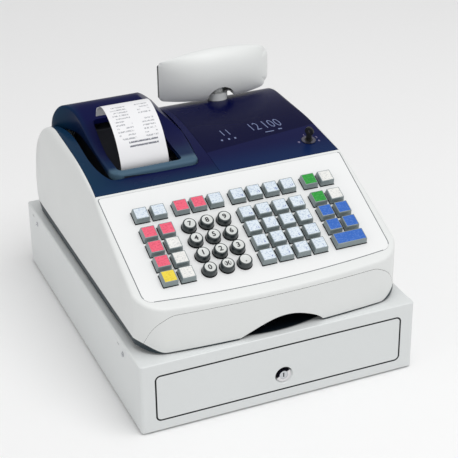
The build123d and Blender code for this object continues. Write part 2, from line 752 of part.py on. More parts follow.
def printer_cover():
    """The hinged cover over printer and roll: rim, well with a lip, and hump."""
    body = hump()
    outline = printer_cover_plan().face().outer_wire()
    edges = []
    for edge in body.edges():
        middle = edge @ 0.5
        flat = outline.distance_to(Vertex(middle.X, middle.Y, 0)) < 0.2
        level = edge.bounding_box().size.X + edge.bounding_box().size.Y > 1
        if flat and level and middle.Z > 206 and middle.X > PCOV_LEFT - 0.1 and middle.Y < HUMP_Y + 20:
            edges.append((math.atan2(middle.Y - 60, middle.X + 65), edge))
    edges.sort(key=lambda pair: pair[0])
    body = fillet([edge for _, edge in edges], PCOV_EDGE_R)
    skin = body - hump(COVER_THICK)
    skin = skin - envelope(COVER_THICK + 1.0)
    low = Pos(0, 0, -LIP_DEPTH) * prism_x(hump_face(), -160, 10)
    lip = (prism_z(well_face(2.0), 190, 260) & body) - low
    cover = skin + lip - prism_z(well_face(), 180, 270)
    tabs = []
    for x0, x1 in COVER_KNUCKLES:
        tabs.append(rod_x(x0, x1, HINGE_Y, HINGE_Z, HINGE_R))
        tabs.append(box(x0, x1, PCOV_REAR_Y - 1.5, HINGE_Y, HINGE_Z - 1.0, HINGE_Z + 1.0))
    cover = cover.fuse(*tabs)
    return cover - rod_x(-130, -20, HINGE_Y, HINGE_Z, HINGE_PIN_R + RUN_FIT)


def printer_bezel():
    """The tinted cover round the printer, left of the middle seam, with the hinge pins."""
    skin = cover_blank() & box(-200, -SEAM_X, -60, 200, 150, 260)
    skin = skin - prism_z(printer_gate_face(), 150, 260)
    solids = []
    for index, (x0, x1) in enumerate(BEZEL_KNUCKLES):
        solids.append(rod_x(x0, x1, HINGE_Y, HINGE_Z, HINGE_R))
        solids.append(box(x0, x1, HINGE_Y - 0.5, COVER_REAR_Y - 2, 199, HINGE_Z))
        pin_end = COVER_KNUCKLES[index]
        solids.append(rod_x(min(x0, pin_end[0]), max(x1, pin_end[1]), HINGE_Y, HINGE_Z, HINGE_PIN_R))
    return skin.fuse(*solids)


# ================================================================ printer
def printer_frame():
    """The printer's chassis: side plates, the roll cradle, the dark guide panel and the front bar."""
    cradle_z = ROLL_Z + CRADLE_R - ROLL_R - ROLLER_GAP
    top_z = ROLL_Z + ROLL_R + 1.0
    plate = Polyline([(-10, FLOOR_Z), (-10, 209), (10, 210), (42, 213.5), (66, 219), (80, 224), (97, top_z),
                      (146, top_z), (156, 205), (156, 120), (140, FLOOR_Z), (-10, FLOOR_Z)])
    plate_face = closed(plate)
    inner0 = PFRAME_X0 + PFRAME_WALL
    inner1 = PFRAME_X1 - PFRAME_WALL
    left = prism_x(plate_face, PFRAME_X0, inner0)
    right = prism_x(plate_face, inner1, PFRAME_X1)
    clip = box(-200, 200, 60, 200, 100, cradle_z + 4)
    trough = rod_x(PFRAME_X0, PFRAME_X1, ROLL_Y, cradle_z, CRADLE_R + 2.5)
    trough = (trough - rod_x(inner0, inner1, ROLL_Y, cradle_z, CRADLE_R)) & clip
    panel = closed(Polyline([(9, 204.5), (88, 223), (88, 225.5), (9, 207), (9, 204.5)]))
    guide = prism_x(panel, inner0 - 0.5, inner1 + 0.5)
    bar = box(inner0 - 0.5, inner1 + 0.5, -10, -6.5, 186, 207)
    base = box(PFRAME_X0, PFRAME_X1, -10, 140, FLOOR_Z, FLOOR_Z + 2.5)
    frame = union([left, right, trough, guide, bar, base])
    frame = frame - rod_x(PFRAME_X0 - 5, PFRAME_X1 + 5, PLATEN_Y, PLATEN_Z, PLATEN_SHAFT_R + RUN_FIT)
    frame = frame & envelope(WALL + 0.3).fuse(hump(COVER_THICK + 0.4))
    return frame


PLATEN_SHAFT_R = 2.5
GEAR_X0 = PFRAME_X1 + 1.0
GEAR_X1 = GEAR_X0 + 4.0
GEAR_CENTRES = GEAR_MODULE * (PLATEN_TEETH + DRIVE_TEETH) / 2 + GEAR_BACKLASH
DRIVE_Z = PLATEN_Z - GEAR_CENTRES


def gear(teeth, bore, width, turn):
    """A spur gear along X with slim teeth, turned so that they mesh."""
    pitch_r = GEAR_MODULE * teeth / 2
    root = pitch_r - 0.95 * GEAR_MODULE
    tip = pitch_r + 0.75 * GEAR_MODULE
    step = 2 * math.pi / teeth
    points = []
    for index in range(teeth):
        a = index * step + turn
        for radius, share in ((root, -0.30), (tip, -0.12), (tip, 0.12), (root, 0.30)):
            points.append((radius * math.cos(a + share * step), radius * math.sin(a + share * step)))
    points.append(points[0])
    face = closed(Polyline(points))
    wheel = prism_x(face, 0, width)
    return wheel - rod_x(-1, width + 1, 0, 0, bore) if bore else wheel


def platen_roller():
    """The rubber platen on its shaft, with the driven gear."""
    inner0 = PFRAME_X0 + PFRAME_WALL
    inner1 = PFRAME_X1 - PFRAME_WALL
    rubber = rod_x(inner0 + 0.6, inner1 - 0.6, PLATEN_Y, PLATEN_Z, PLATEN_R)
    shaft = rod_x(PFRAME_X0 - 1, GEAR_X1 + 0.5, PLATEN_Y, PLATEN_Z, PLATEN_SHAFT_R)
    wheel = Pos(GEAR_X0, PLATEN_Y, PLATEN_Z) * gear(PLATEN_TEETH, 0, GEAR_X1 - GEAR_X0, -math.pi / 2)
    return rubber + shaft + wheel


def drive_gear():
    """The motor's pinion, meshing under the platen gear."""
    turn = math.pi / 2 + math.pi / DRIVE_TEETH
    wheel = Pos(GEAR_X0, PLATEN_Y, DRIVE_Z) * gear(DRIVE_TEETH, 0, GEAR_X1 - GEAR_X0, turn)
    return wheel + rod_x(GEAR_X0 - 0.6, GEAR_X1 + 5, PLATEN_Y, DRIVE_Z, 1.5)


def feed_motor():
    """The paper-feed motor, on three posts off the printer's right plate."""
    x0 = GEAR_X1 + 1.0
    can = rod_x(x0, x0 + 15, PLATEN_Y, DRIVE_Z - 4, 13.0)
    motor = can - rod_x(x0 - 1, x0 + 9, PLATEN_Y, DRIVE_Z, 1.5 + RUN_FIT)
    for y, z in ((PLATEN_Y - 10.5, DRIVE_Z - 8), (PLATEN_Y + 10.5, DRIVE_Z - 8), (PLATEN_Y, DRIVE_Z - 14)):
        motor = motor + rod_x(PFRAME_X1, x0 + 0.5, y, z, 1.8)
    return motor


def print_head():
    """The thermal head on its heat sink, between the front bar and the platen."""
    inner0 = PFRAME_X0 + PFRAME_WALL
    inner1 = PFRAME_X1 - PFRAME_WALL
    head = box(inner0 + 1, inner1 - 1, -6.5, -2.2, 186, 204)
    return head + box(inner0 + 2.5, inner1 - 2.5, -2.3, -0.7, 192, 198)


def tear_bar():
    """The toothed steel strip that tickets are torn against, with its foot on the front bar."""
    x0 = PFRAME_X0 + PFRAME_WALL + 1
    x1 = PFRAME_X1 - PFRAME_WALL - 1
    foot = box(x0, x1, -9.5, -6.7, 207, 208)
    blade = box(x0, x1, -7.5, -6.7, 207, 214.5)
    bar = foot + blade
    count = 22
    step = (x1 - x0) / count
    notch = closed(Polyline([(-step / 2 + 0.3, 1), (0, -1.3), (step / 2 - 0.3, 1), (-step / 2 + 0.3, 1)]))
    cuts = []
    for index in range(count):
        cuts.append(Pos(x0 + (index + 0.5) * step, 0, 214.2) * prism_y(notch, -9, -5))
    return bar.cut(*cuts)


def paper_roll():
    """The ticket roll on its core."""
    x0 = PAPER_X0 + 0.3
    x1 = PAPER_X0 + PAPER_W - 0.3
    return rod_x(x0, x1, ROLL_Y, ROLL_Z, ROLL_R) - rod_x(x0 - 1, x1 + 1, ROLL_Y, ROLL_Z, ROLL_CORE_R)


def ticket_line(shift):
    """The ticket's run in (Y, Z): off the roll, round the platen, out of the well and over in a curl."""
    lean = math.asin((ROLL_R + PLATEN_R + 2 * TICKET_GAP) / math.hypot(ROLL_Y - PLATEN_Y, ROLL_Z - PLATEN_Z))
    lean = lean + math.atan2(ROLL_Z - PLATEN_Z, ROLL_Y - PLATEN_Y)
    roll_r = ROLL_R + TICKET_GAP - shift
    bend_r = PLATEN_R + TICKET_GAP + shift
    leave = (ROLL_Y - roll_r * math.sin(lean), ROLL_Z + roll_r * math.cos(lean))
    under = (PLATEN_Y + bend_r * math.sin(lean), PLATEN_Z - bend_r * math.cos(lean))
    front = (PLATEN_Y - bend_r, PLATEN_Z)
    half = (lean - math.pi / 2) / 2
    low = (PLATEN_Y + bend_r * math.sin(half), PLATEN_Z - bend_r * math.cos(half))
    rise = (PLATEN_Y - bend_r, PLATEN_Z + 4)
    curl = Spline(
        [rise, (-1.2, 207), (-2.6, 216), (2.6, 230), (11.8, 243.8), (26.5, 256.6), (46, 265.8), (60, 267.2),
         (74, 261.4), (82.5, 247)],
        tangents=[(0, 1), (0.15, -1)],
    )
    if shift:
        marks = [index / 40 for index in range(1, 41)]
        points = [rise]
        for mark in marks:
            place = curl @ mark
            along = (curl % mark).normalized()
            points.append((place.X - along.Y * shift, place.Y + along.X * shift))
        curl = Spline(points, tangents=[(0, 1), (0.15, -1)])
    return Line(leave, under), ThreePointArc(under, low, front), Line(front, rise), curl


def receipt():
    """The printed ticket, from the roll to its free end above the well."""
    front = ticket_line(PAPER_THICK)
    back = ticket_line(0.0)
    start = Line(back[0] @ 0, front[0] @ 0)
    end = Line(front[-1] @ 1, back[-1] @ 1)
    face = closed(start, *front, end, *back)
    return prism_x(face, PAPER_X0, PAPER_X0 + PAPER_W)


# ================================================================ displays and mode switch
MODE_TILT = 8.5
MODE_SURFACE_Z = 213.0
MODE_PLANE = Plane(
    origin=(MODE_X, MODE_Y, MODE_SURFACE_Z),
    x_dir=(1, 0, 0),
    z_dir=(0, -math.sin(math.radians(MODE_TILT)), math.cos(math.radians(MODE_TILT))),
)
MODE_DEPTH = 26.0


def mode_switch():
    """The mode switch's body under the cover, with its flange on top."""
    body = rod_z(0, 0, -MODE_DEPTH, 0.2, MODE_R - 1.0)
    flange = rod_z(0, 0, 0.2, 1.2, MODE_R + 0.5)
    bore = rod_z(0, 0, -MODE_DEPTH + 2.0, 5, MODE_ROTOR_R + RUN_FIT)
    return MODE_PLANE * (body + flange - bore)


def mode_rotor():
    """The part of the mode switch that the key turns."""
    rotor = rod_z(0, 0, -MODE_DEPTH + 2.3, 1.0, MODE_ROTOR_R)
    rotor = rotor + Pos(0, 0, 1.9) * Box(2.6, 8.6, 2.0)
    return MODE_PLANE * (rotor - Pos(0, 0, 2.2) * Box(0.9, 6.0, 3.0))


def display_module():
    """The operator's display: tubes on a board, held up against the window."""
    block = box(14, 118, 14, 52, 203, 230) & envelope(COVER_THICK + 0.15)
    board = box(8, 124, 10, 56, 201.4, 203)
    return block + board


def display_post():
    """The tube that the customer's display stands on; it slides up out of the case."""
    post = rod_z(POST_X, POST_Y, POST_LOW_Z, POST_TOP_Z, POST_R)
    post = post + rod_z(POST_X, POST_Y, POST_TOP_Z - 1, POST_SPIGOT_Z, POST_SPIGOT_R)
    return post - rod_z(POST_X, POST_Y, POST_LOW_Z - 5, POST_SPIGOT_Z + 5, 4.5)


def housing_section(x, inset=0.0, back=0.0):
    """The customer display's D-shaped section at one place along it."""
    half = CD_HALF - 2 * inset
    share = abs(x) / half
    depth = CD_END_DEPTH + (CD_DEPTH - CD_END_DEPTH - inset) * (1 - share**2.5)
    low = CD_BOTTOM_Z + inset
    high = CD_TOP_Z - CD_CROWN * share**2 - inset - low
    outline = [(0.95, 0), (1.05, 0.06), (1.17, 0.2), (1.22, 0.42), (1.12, 0.67), (0.83, 0.89), (0.42, 1.0), (0, 0.94)]
    points = [(CD_REAR_Y - across * depth, low + up * high) for across, up in outline]
    rear = CD_REAR_Y + back
    rest = [points[-1], (rear, points[-1][1]), (rear, low), points[0]]
    if not back:
        rest = [points[-1], (rear, low), points[0]]
    plane = Plane((x, 0, 0), x_dir=(0, 1, 0), z_dir=(1, 0, 0))
    return plane * closed(Spline(points), Polyline(rest))


def housing_form(inset=0.0, back=0.0):
    """The customer display's smooth outer form, or the space inside its shell."""
    half = CD_HALF - 2 * inset
    right = [half * share for share in (0.24, 0.44, 0.61, 0.75, 0.87, 0.95, 1.0)]
    places = [-x for x in reversed(right)] + [0.0] + right
    return Pos(POST_X, 0, 0) * loft([housing_section(x, inset, back) for x in places])


def post_bore():
    """The room round the post's top, under the customer display's socket."""
    return rod_z(POST_X, POST_Y, 200, POST_TOP_Z + 0.3, POST_R + 2.0)


def customer_housing():
    """The shell of the customer's display, with the socket that turns on the post."""
    form = housing_form()
    shell = form - housing_form(CD_WALL, CD_WINDOW)
    socket = rod_z(POST_X, POST_Y, POST_TOP_Z + 0.3, 272, POST_SPIGOT_R + 3.0)
    bridge = box(POST_X - 16, POST_X + 16, POST_Y - 2, POST_Y + 2, 264, 290)
    shell = shell + ((socket + bridge) & form)
    shell = shell - rod_z(POST_X, POST_Y, 200, POST_SPIGOT_Z + 0.4, POST_SPIGOT_R + RUN_FIT)
    shell = shell - rod_y(POST_X, CD_REAR_Y - 50, POST_Y + 6, CD_BOTTOM_Z - 3, CD_NOTCH_R)
    return shell - post_bore()


def window_outline(inset=0.0):
    """The dark window's outline from the rear, about its own middle."""
    half = CD_HALF - inset
    low = CD_BOTTOM_Z + 0.3 + inset
    top = Spline([(-half, CD_WINDOW_TOP - CD_CROWN - inset), (0, CD_WINDOW_TOP - inset),
                  (half, CD_WINDOW_TOP - CD_CROWN - inset)])
    rest = Polyline([(half, CD_WINDOW_TOP - CD_CROWN - inset), (half, low), (-half, low),
                     (-half, CD_WINDOW_TOP - CD_CROWN - inset)])
    face = closed(top, rest)
    return fillet(face.vertices(), CD_EDGE_R)


def customer_window():
    """The dark window that closes the customer display's rear, with a pocket for the board."""
    rear = CD_REAR_Y + CD_WINDOW
    cap = prism_y(window_outline(), CD_REAR_Y, rear)
    cap = fillet(cap.edges().group_by(Axis.Y)[-1], CD_WINDOW_EDGE)
    cap = cap - box(-CD_POCKET, CD_POCKET, CD_REAR_Y - 5, rear - CD_PANE, CD_BOTTOM_Z + 5, CD_BOTTOM_Z + 44)
    return Pos(POST_X, 0, 0) * cap - post_bore()


def customer_board():
    """The customer display's board and digit block, behind the window."""
    pane = CD_REAR_Y + CD_WINDOW - CD_PANE
    board = box(POST_X - 62, POST_X + 62, CD_REAR_Y + 0.6, CD_REAR_Y + 2.2, CD_BOTTOM_Z + 7.6, CD_BOTTOM_Z + 41)
    return board + box(POST_X - 54, POST_X + 54, CD_REAR_Y + 2.1, pane - 0.2, CD_BOTTOM_Z + 13.6, CD_BOTTOM_Z + 33.6)


def main_board():
    """The main circuit board with its larger parts, on the floor's bosses."""
    x, y = MAIN_BOARD
    z = FLOOR_Z + STANDOFF
    board = box(x - 78, x + 78, y - 52, y + 52, z, z + BOARD_THICK)
    board = board + box(x - 40, x - 12, y - 20, y + 10, z + BOARD_THICK - 0.1, z + 5)
    board = board + box(x + 10, x + 34, y - 30, y - 14, z + BOARD_THICK - 0.1, z + 5)
    for index in range(3):
        board = board + rod_z(x + 50, y - 30 + 22 * index, z + 1, z + 17, 6.0)
    return board


def transformer():
    """The mains transformer: a laminated core round a coil, on its feet."""
    x, y = TRANSFORMER
    core = box(x - 26, x + 26, y - 11, y + 11, FLOOR_Z + 2, FLOOR_Z + 46)
    coil = box(x - 17, x + 17, y - 21, y + 21, FLOOR_Z + 10, FLOOR_Z + 38)
    feet = box(x - 34, x + 34, y - 11, y + 11, FLOOR_Z, FLOOR_Z + 2.1)
    return core + coil + feet


# ================================================================ drawer cabinet
def cabinet_shell():
    """The painted sheet wrap: top, sides and rear, with rolled upper edges."""
    outer = box(-CAB_W / 2, CAB_W / 2, FRONT_Y + FRAME_DEPTH, REAR_Y, BOTTOM_Z, CAB_H)
    outer = fillet(outer.edges().filter_by(Axis.Y).group_by(Axis.Z)[-1], 2.5)
    outer = fillet(outer.edges().filter_by(Axis.Z).group_by(Axis.Y)[-1], 2.5)
    inner = box(-INNER_X, INNER_X, FRONT_Y, REAR_Y - SHEET, 0, CAB_H - SHEET)
    shell = outer - inner
    for side in (-1, 1):
        for y in (CAB_SLOT_FRONT, CAB_SLOT_REAR):
            shell = shell - box(side * CAB_W / 2 - 3, side * CAB_W / 2 + 3, y - 3.5, y + 3.5, 77.6, 79.0)
    return shell - rod_y(-120, REAR_Y - 5, REAR_Y + 5, 40, 6)


CAB_SLOT_FRONT = -143.0
CAB_SLOT_REAR = 186.0
SIDE_SCREWS_Y = (-158.0, 170.0)
SIDE_SCREW_Z = 73.5


def cabinet_front_frame():
    """The frame round the drawer front, with rounded upright edges."""
    outer = box(-CAB_W / 2, CAB_W / 2, FRONT_Y, FRONT_Y + FRAME_DEPTH, BOTTOM_Z, CAB_H)
    outer = fillet(outer.edges().filter_by(Axis.Z).group_by(Axis.Y)[0], FRAME_EDGE_R)
    rim = outer.edges().filter_by(Axis.X).group_by(Axis.Y)[0].group_by(Axis.Z)[-1]
    outer = fillet(rim, 1.5)
    height = OPEN_Z1 - OPEN_Z0
    hole = Pos(0, DRAWER_MID_Z) * RectangleRounded(2 * OPEN_X, height, FRONT_CORNER_R)
    return outer - prism_y(hole, FRONT_Y - 5, FRONT_Y + FRAME_DEPTH + 5)


def cabinet_base():
    """The bottom sheet of the cabinet."""
    return box(-INNER_X, INNER_X, FRONT_Y + FRAME_DEPTH, REAR_Y - SHEET, BOTTOM_Z, BOTTOM_Z + SHEET)


def rubber_feet():
    """Four rubber feet under the cabinet."""
    return group([Pos(x, y, FOOT_H / 2) * Cylinder(FOOT_R, FOOT_H) for x, y in FEET_PLACES])


def cabinet_rails():
    """The two fixed channels that the tray rolls in, each with its front roller's pin."""
    rails = []
    y0 = FRONT_Y + FRAME_DEPTH + 1
    y1 = 196.0
    z_top = RAIL_Z0 + RAIL_SHEET + 2 * TRAY_ROLLER_R + 2 * ROLLER_GAP
    for side in (-1, 1):
        web_x = sorted((side * INNER_X, side * (INNER_X - RAIL_SHEET)))
        lip_x = sorted((side * INNER_X, side * RAIL_INNER_X))
        web = box(web_x[0], web_x[1], y0, y1, BOTTOM_Z + SHEET, 46)
        low = box(lip_x[0], lip_x[1], y0, y1, RAIL_Z0, RAIL_Z0 + RAIL_SHEET)
        high = box(lip_x[0], lip_x[1], y0, y1, z_top, z_top + RAIL_SHEET)
        pin_x = sorted((side * INNER_X, side * (CAB_ROLLER_X - ROLLER_W)))
        pin = rod_x(pin_x[0], pin_x[1], CAB_ROLLER_Y, CAB_ROLLER_Z, PIN_R)
        rails.append(union([web, low, high, pin]))
    return group(rails)


CAB_ROLLER_Z = FLANGE_Z - ROLLER_GAP - CAB_ROLLER_R
CAB_ROLLER_X = FLANGE_X - 0.5
TRAY_ROLLER_Z = RAIL_Z0 + RAIL_SHEET + ROLLER_GAP + TRAY_ROLLER_R
TRAY_ROLLER_X = INNER_X - RAIL_SHEET - 1.0
TRAY_ROLLER_Y = TRAY_REAR_Y - 14.0


def roller(x_outer, side, y, z, radius):
    """A nylon roller on a pin along X."""
    ends = sorted((side * x_outer, side * (x_outer - ROLLER_W)))
    return rod_x(ends[0], ends[1], y, z, radius) - rod_x(ends[0] - 1, ends[1] + 1, y, z, PIN_R + RUN_FIT)


def cabinet_rollers():
    """The pair of rollers at the cabinet's front, under the tray's flanges."""
    return group([roller(CAB_ROLLER_X, side, CAB_ROLLER_Y, CAB_ROLLER_Z, CAB_ROLLER_R) for side in (-1, 1)])


def tray_rollers():
    """The pair of rollers at the tray's rear, inside the channels."""
    return group([roller(TRAY_ROLLER_X, side, TRAY_ROLLER_Y, TRAY_ROLLER_Z, TRAY_ROLLER_R) for side in (-1, 1)])


STRIKER_Z = 30.0


def drawer_tray():
    """The steel tray: folded sides with flanges, roller pins and the striker at the rear."""
    outer = box(-TRAY_HALF, TRAY_HALF, TRAY_FRONT_Y, TRAY_REAR_Y, TRAY_Z0, TRAY_Z0 + TRAY_HEIGHT)
    inner = box(-TRAY_HALF + SHEET, TRAY_HALF - SHEET, TRAY_FRONT_Y + SHEET, TRAY_REAR_Y - SHEET,
                TRAY_Z0 + SHEET, 100)
    solids = [outer - inner]
    for side in (-1, 1):
        flange = sorted((side * (TRAY_HALF - 0.5), side * FLANGE_X))
        solids.append(box(flange[0], flange[1], TRAY_FRONT_Y + 2, TRAY_REAR_Y, FLANGE_Z, FLANGE_Z + 1.5))
        pin = sorted((side * (TRAY_HALF - 0.5), side * TRAY_ROLLER_X))
        solids.append(rod_x(pin[0], pin[1], TRAY_ROLLER_Y, TRAY_ROLLER_Z, PIN_R))
    solids.append(box(-7, 7, TRAY_REAR_Y - 0.5, HOOK_Y - 5, STRIKER_Z, STRIKER_Z + 1.5))
    solids.append(box(-7, 7, HOOK_Y - 6.5, HOOK_Y - 5, STRIKER_Z, STRIKER_Z + 8))
    tray = union(solids)
    return tray - rod_y(LOCK_X, TRAY_FRONT_Y - 5, TRAY_FRONT_Y + 5, LOCK_Z, LOCK_BARREL_R + 0.3)


def drawer_front():
    """The drawer's front panel, with the dimple that the lock sits in."""
    height = OPEN_Z1 - OPEN_Z0 - 2 * FRONT_GAP
    face = Pos(0, DRAWER_MID_Z) * RectangleRounded(2 * (OPEN_X - FRONT_GAP), height, FRONT_CORNER_R - FRONT_GAP)
    panel = prism_y(face, FRONT_Y, FRONT_Y + FRONT_THICK)
    dimple = Pos(LOCK_X, FRONT_Y + LOCK_DIMPLE / 2, LOCK_Z) * Rot(90, 0, 0) * Cone(
        LOCK_FLANGE_R + 0.4, LOCK_DIMPLE_R, LOCK_DIMPLE)
    panel = panel - dimple
    return panel - rod_y(LOCK_X, FRONT_Y - 1, FRONT_Y + FRONT_THICK + 1, LOCK_Z, LOCK_BARREL_R)


def lock_barrel():
    """The lock's chromed barrel: its flange in the dimple, its nut behind the tray's front wall."""
    y0 = FRONT_Y + LOCK_DIMPLE
    flange = rod_y(LOCK_X, y0 - 1.6, y0, LOCK_Z, LOCK_FLANGE_R)
    barrel = rod_y(LOCK_X, y0 - 1.0, y0 + LOCK_DEPTH, LOCK_Z, LOCK_BARREL_R)
    nut_y = TRAY_FRONT_Y + SHEET
    nut_face = Pos(LOCK_X, LOCK_Z) * RegularPolygon(LOCK_BARREL_R + 3.0, 6)
    nut = prism_y(nut_face, nut_y, nut_y + 3.0)
    bore = rod_y(LOCK_X, y0 - 5, y0 + LOCK_DEPTH + 5, LOCK_Z, LOCK_PLUG_R + RUN_FIT)
    return flange + barrel + nut - bore


def lock_plug():
    """The lock's turning plug with the key slot, and the cam behind it."""
    y0 = FRONT_Y + LOCK_DIMPLE - 1.4
    y1 = FRONT_Y + LOCK_DIMPLE + LOCK_DEPTH
    plug = rod_y(LOCK_X, y0, y1 + 2.5, LOCK_Z, LOCK_PLUG_R)
    slot = box(LOCK_X - KEY_SLOT[0] / 2, LOCK_X + KEY_SLOT[0] / 2, y0 - 1, y1 - 4, LOCK_Z - KEY_SLOT[1] / 2,
               LOCK_Z + KEY_SLOT[1] / 2)
    cam = box(LOCK_X - 5.5, LOCK_X + 16, y1 + 0.4, y1 + 2.5, LOCK_Z - 5, LOCK_Z + 5)
    return plug - slot + cam


def ejector_spring():
    """The coil spring behind the tray that pushes it out when the latch lets go."""
    y0 = TRAY_REAR_Y + 0.3 + SPRING_WIRE_R
    y1 = REAR_Y - SHEET - 0.2 - SPRING_WIRE_R
    pitch = (y1 - y0) / SPRING_TURNS
    path = Pos(SPRING_X, y0, SPRING_Z) * Rot(-90, 0, 0) * Helix(pitch, y1 - y0, SPRING_R)
    profile = Plane(path @ 0, z_dir=path % 0) * Circle(SPRING_WIRE_R)
    return sweep(profile, path)


def latch_solenoid():
    """The solenoid and bracket that hold the latch, on the cabinet's base."""
    z0 = BOTTOM_Z + SHEET
    foot = box(-20, 20, HOOK_Y - 1, HOOK_Y + 14, z0, z0 + 1.5)
    cheeks = [box(x, x + 1.5, HOOK_Y - 6, HOOK_Y + 10, z0, HOOK_Z + 5) for x in (-13.5, 12)]
    coil = box(-9, 9, HOOK_Y + 1, HOOK_Y + 14, z0 + 1, z0 + 26)
    pin = rod_x(-13, 13, HOOK_Y, HOOK_Z, PIN_R)
    return union([foot, coil, pin] + cheeks)


def latch_hook():
    """The sprung hook over the tray's striker, drawn raised as the drawer is free."""
    arm = box(-5, 5, HOOK_Y - 13, HOOK_Y + 3.5, HOOK_Z - 3.5, HOOK_Z + 3.5)
    nose = box(-5, 5, HOOK_Y - 13, HOOK_Y - 9.5, HOOK_Z - 19, HOOK_Z)
    hook = arm + nose - rod_x(-6, 6, HOOK_Y, HOOK_Z, PIN_R + RUN_FIT)
    turn = Pos(0, HOOK_Y, HOOK_Z) * Rot(-HOOK_RAISE, 0, 0) * Pos(0, -HOOK_Y, -HOOK_Z)
    return turn * hook


TILL_X = TRAY_HALF - SHEET - TILL_CLEAR
TILL_Y0 = TRAY_FRONT_Y + LOCK_DEPTH + 1.0
TILL_Z0 = TRAY_Z0 + SHEET
BAY_W = (2 * TILL_X - (BAYS + 1) * TILL_WALL) / BAYS
TILL_Y1 = TILL_Y0 + 4 * TILL_WALL + 2 * CUP_LENGTH + BILL_LENGTH
CLIP_Y = TILL_Y1 - 8.0
CLIP_Z = TILL_Z0 + TILL_HEIGHT - 4.0


def bay_x(index):
    """The left side of a till bay."""
    return -TILL_X + TILL_WALL + index * (BAY_W + TILL_WALL)


def till_insert():
    """The lift-out till: four note bays behind two rows of coin cups, and the clips' rod."""
    top = TILL_Z0 + TILL_HEIGHT
    block = box(-TILL_X, TILL_X, TILL_Y0, TILL_Y1, TILL_Z0, top)
    cuts = []
    for index in range(BAYS):
        x0 = bay_x(index)
        for row in range(2):
            y0 = TILL_Y0 + TILL_WALL + row * (CUP_LENGTH + TILL_WALL)
            cup = box(x0, x0 + BAY_W, y0, y0 + CUP_LENGTH, top - CUP_DEPTH, top + 5)
            cup = fillet(cup.edges().group_by(Axis.Z)[0], 8.0)
            cuts.append(cup)
            under = box(x0, x0 + BAY_W, y0, y0 + CUP_LENGTH, TILL_Z0 - 1, top - CUP_DEPTH - TILL_WALL)
            cuts.append(under)
        y0 = TILL_Y0 + 3 * TILL_WALL + 2 * CUP_LENGTH
        cuts.append(box(x0, x0 + BAY_W, y0, y0 + BILL_LENGTH, top - BAY_DEPTH, top + 5))
    insert = block.cut(*cuts)
    return insert + rod_x(-TILL_X + 0.5, TILL_X - 0.5, CLIP_Y, CLIP_Z, CLIP_ROD_R)


def bill_clips():
    """One hinged note clip in each bay, resting on the bay's floor."""
    clips = []
    for index in range(BAYS):
        x = bay_x(index) + BAY_W / 2
        knuckle = rod_x(x - CLIP_W / 2, x + CLIP_W / 2, CLIP_Y, CLIP_Z, CLIP_ROD_R + 1.6)
        arm = box(x - CLIP_W / 2, x + CLIP_W / 2, CLIP_Y - CLIP_ARM, CLIP_Y - 2, CLIP_Z - CLIP_THICK / 2,
                  CLIP_Z + CLIP_THICK / 2)
        pad = rod_x(x - CLIP_W / 2, x + CLIP_W / 2, CLIP_Y - CLIP_ARM, CLIP_Z, 2.2)
        bore = rod_x(x - CLIP_W, x + CLIP_W, CLIP_Y, CLIP_Z, CLIP_ROD_R + RUN_FIT)
        clip = knuckle + arm + pad - bore
        turn = Pos(0, CLIP_Y, CLIP_Z) * Rot(CLIP_DROP, 0, 0) * Pos(0, -CLIP_Y, -CLIP_Z)
        clips.append(turn * clip)
    return group(clips)


def screws():
    """The case screws: four in the cabinet's sides and four in the register's rear."""
    items = []
    for side in (-1, 1):
        for y in SIDE_SCREWS_Y:
            x = side * CAB_W / 2
            ends = sorted((x, x + side * 1.2))
            head = rod_x(ends[0], ends[1], y, SIDE_SCREW_Z, 3.0)
            head = head - box(x + side * 1.2 - 0.5, x + side * 1.2 + 0.5, y - 2, y + 2, SIDE_SCREW_Z - 0.4, SIDE_SCREW_Z + 0.4)
            items.append(head)
    for x in (-132, -60, 60, 132):
        head = rod_y(x, BODY_REAR_Y, BODY_REAR_Y + 1.4, REAR_SCREW_Z, 3.2)
        items.append(head)
    return group(items)


BUILDERS = {
    "cabinet_shell": cabinet_shell,
    "cabinet_front_frame": cabinet_front_frame,
    "cabinet_base": cabinet_base,
    "rubber_feet": rubber_feet,
    "screws": screws,
    "cabinet_rails": cabinet_rails,
    "cabinet_rollers": cabinet_rollers,
    "drawer_tray": drawer_tray,
    "drawer_front": drawer_front,
    "tray_rollers": tray_rollers,
    "lock_barrel": lock_barrel,
    "lock_plug": lock_plug,
    "latch_solenoid": latch_solenoid,
    "latch_hook": latch_hook,
    "ejector_spring": ejector_spring,
    "till_insert": till_insert,
    "bill_clips": bill_clips,
    "base_chassis": base_chassis,
    "lower_case": lower_case,
    "upper_case": upper_case,
    "keyboard_overlay": keyboard_overlay,
    "key_frame": key_frame,
    "keyboard_board": keyboard_board,
    "main_board": main_board,
    "transformer": transformer,
    "display_window": display_window,
    "display_module": display_module,
    "mode_switch": mode_switch,
    "mode_rotor": mode_rotor,
    "printer_bezel": printer_bezel,
    "printer_cover": printer_cover,
    "printer_frame": printer_frame,
    "platen_roller": platen_roller,
    "drive_gear": drive_gear,
    "feed_motor": feed_motor,
    "print_head": print_head,
    "tear_bar": tear_bar,
    "paper_roll": paper_roll,
    "receipt": receipt,
    "display_post": display_post,
    "customer_housing": customer_housing,
    "customer_window": customer_window,
    "customer_board": customer_board,
    "power_inlet": power_inlet,
}


def main():
    """Build every piece and write its STEP file."""
    parts = {node: build() for node, build in BUILDERS.items()}
    parts.update(keys())
    for node, shape in parts.items():
        export_step(shape, "parts/" + node + ".step")


if __name__ == "__main__":
    main()
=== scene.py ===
"""The look of a ticket register: a receipt-printing till that stands on its cash drawer.

Each sub-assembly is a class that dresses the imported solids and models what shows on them.
Lengths are in metres, apart from the keyboard's, which are in millimetres on its sloping deck.
A finished piece's place is in its mesh, so its object sits at the origin.
"""

import json
import logging
import math
from collections.abc import Callable
from dataclasses import dataclass
from enum import Enum
from functools import cache

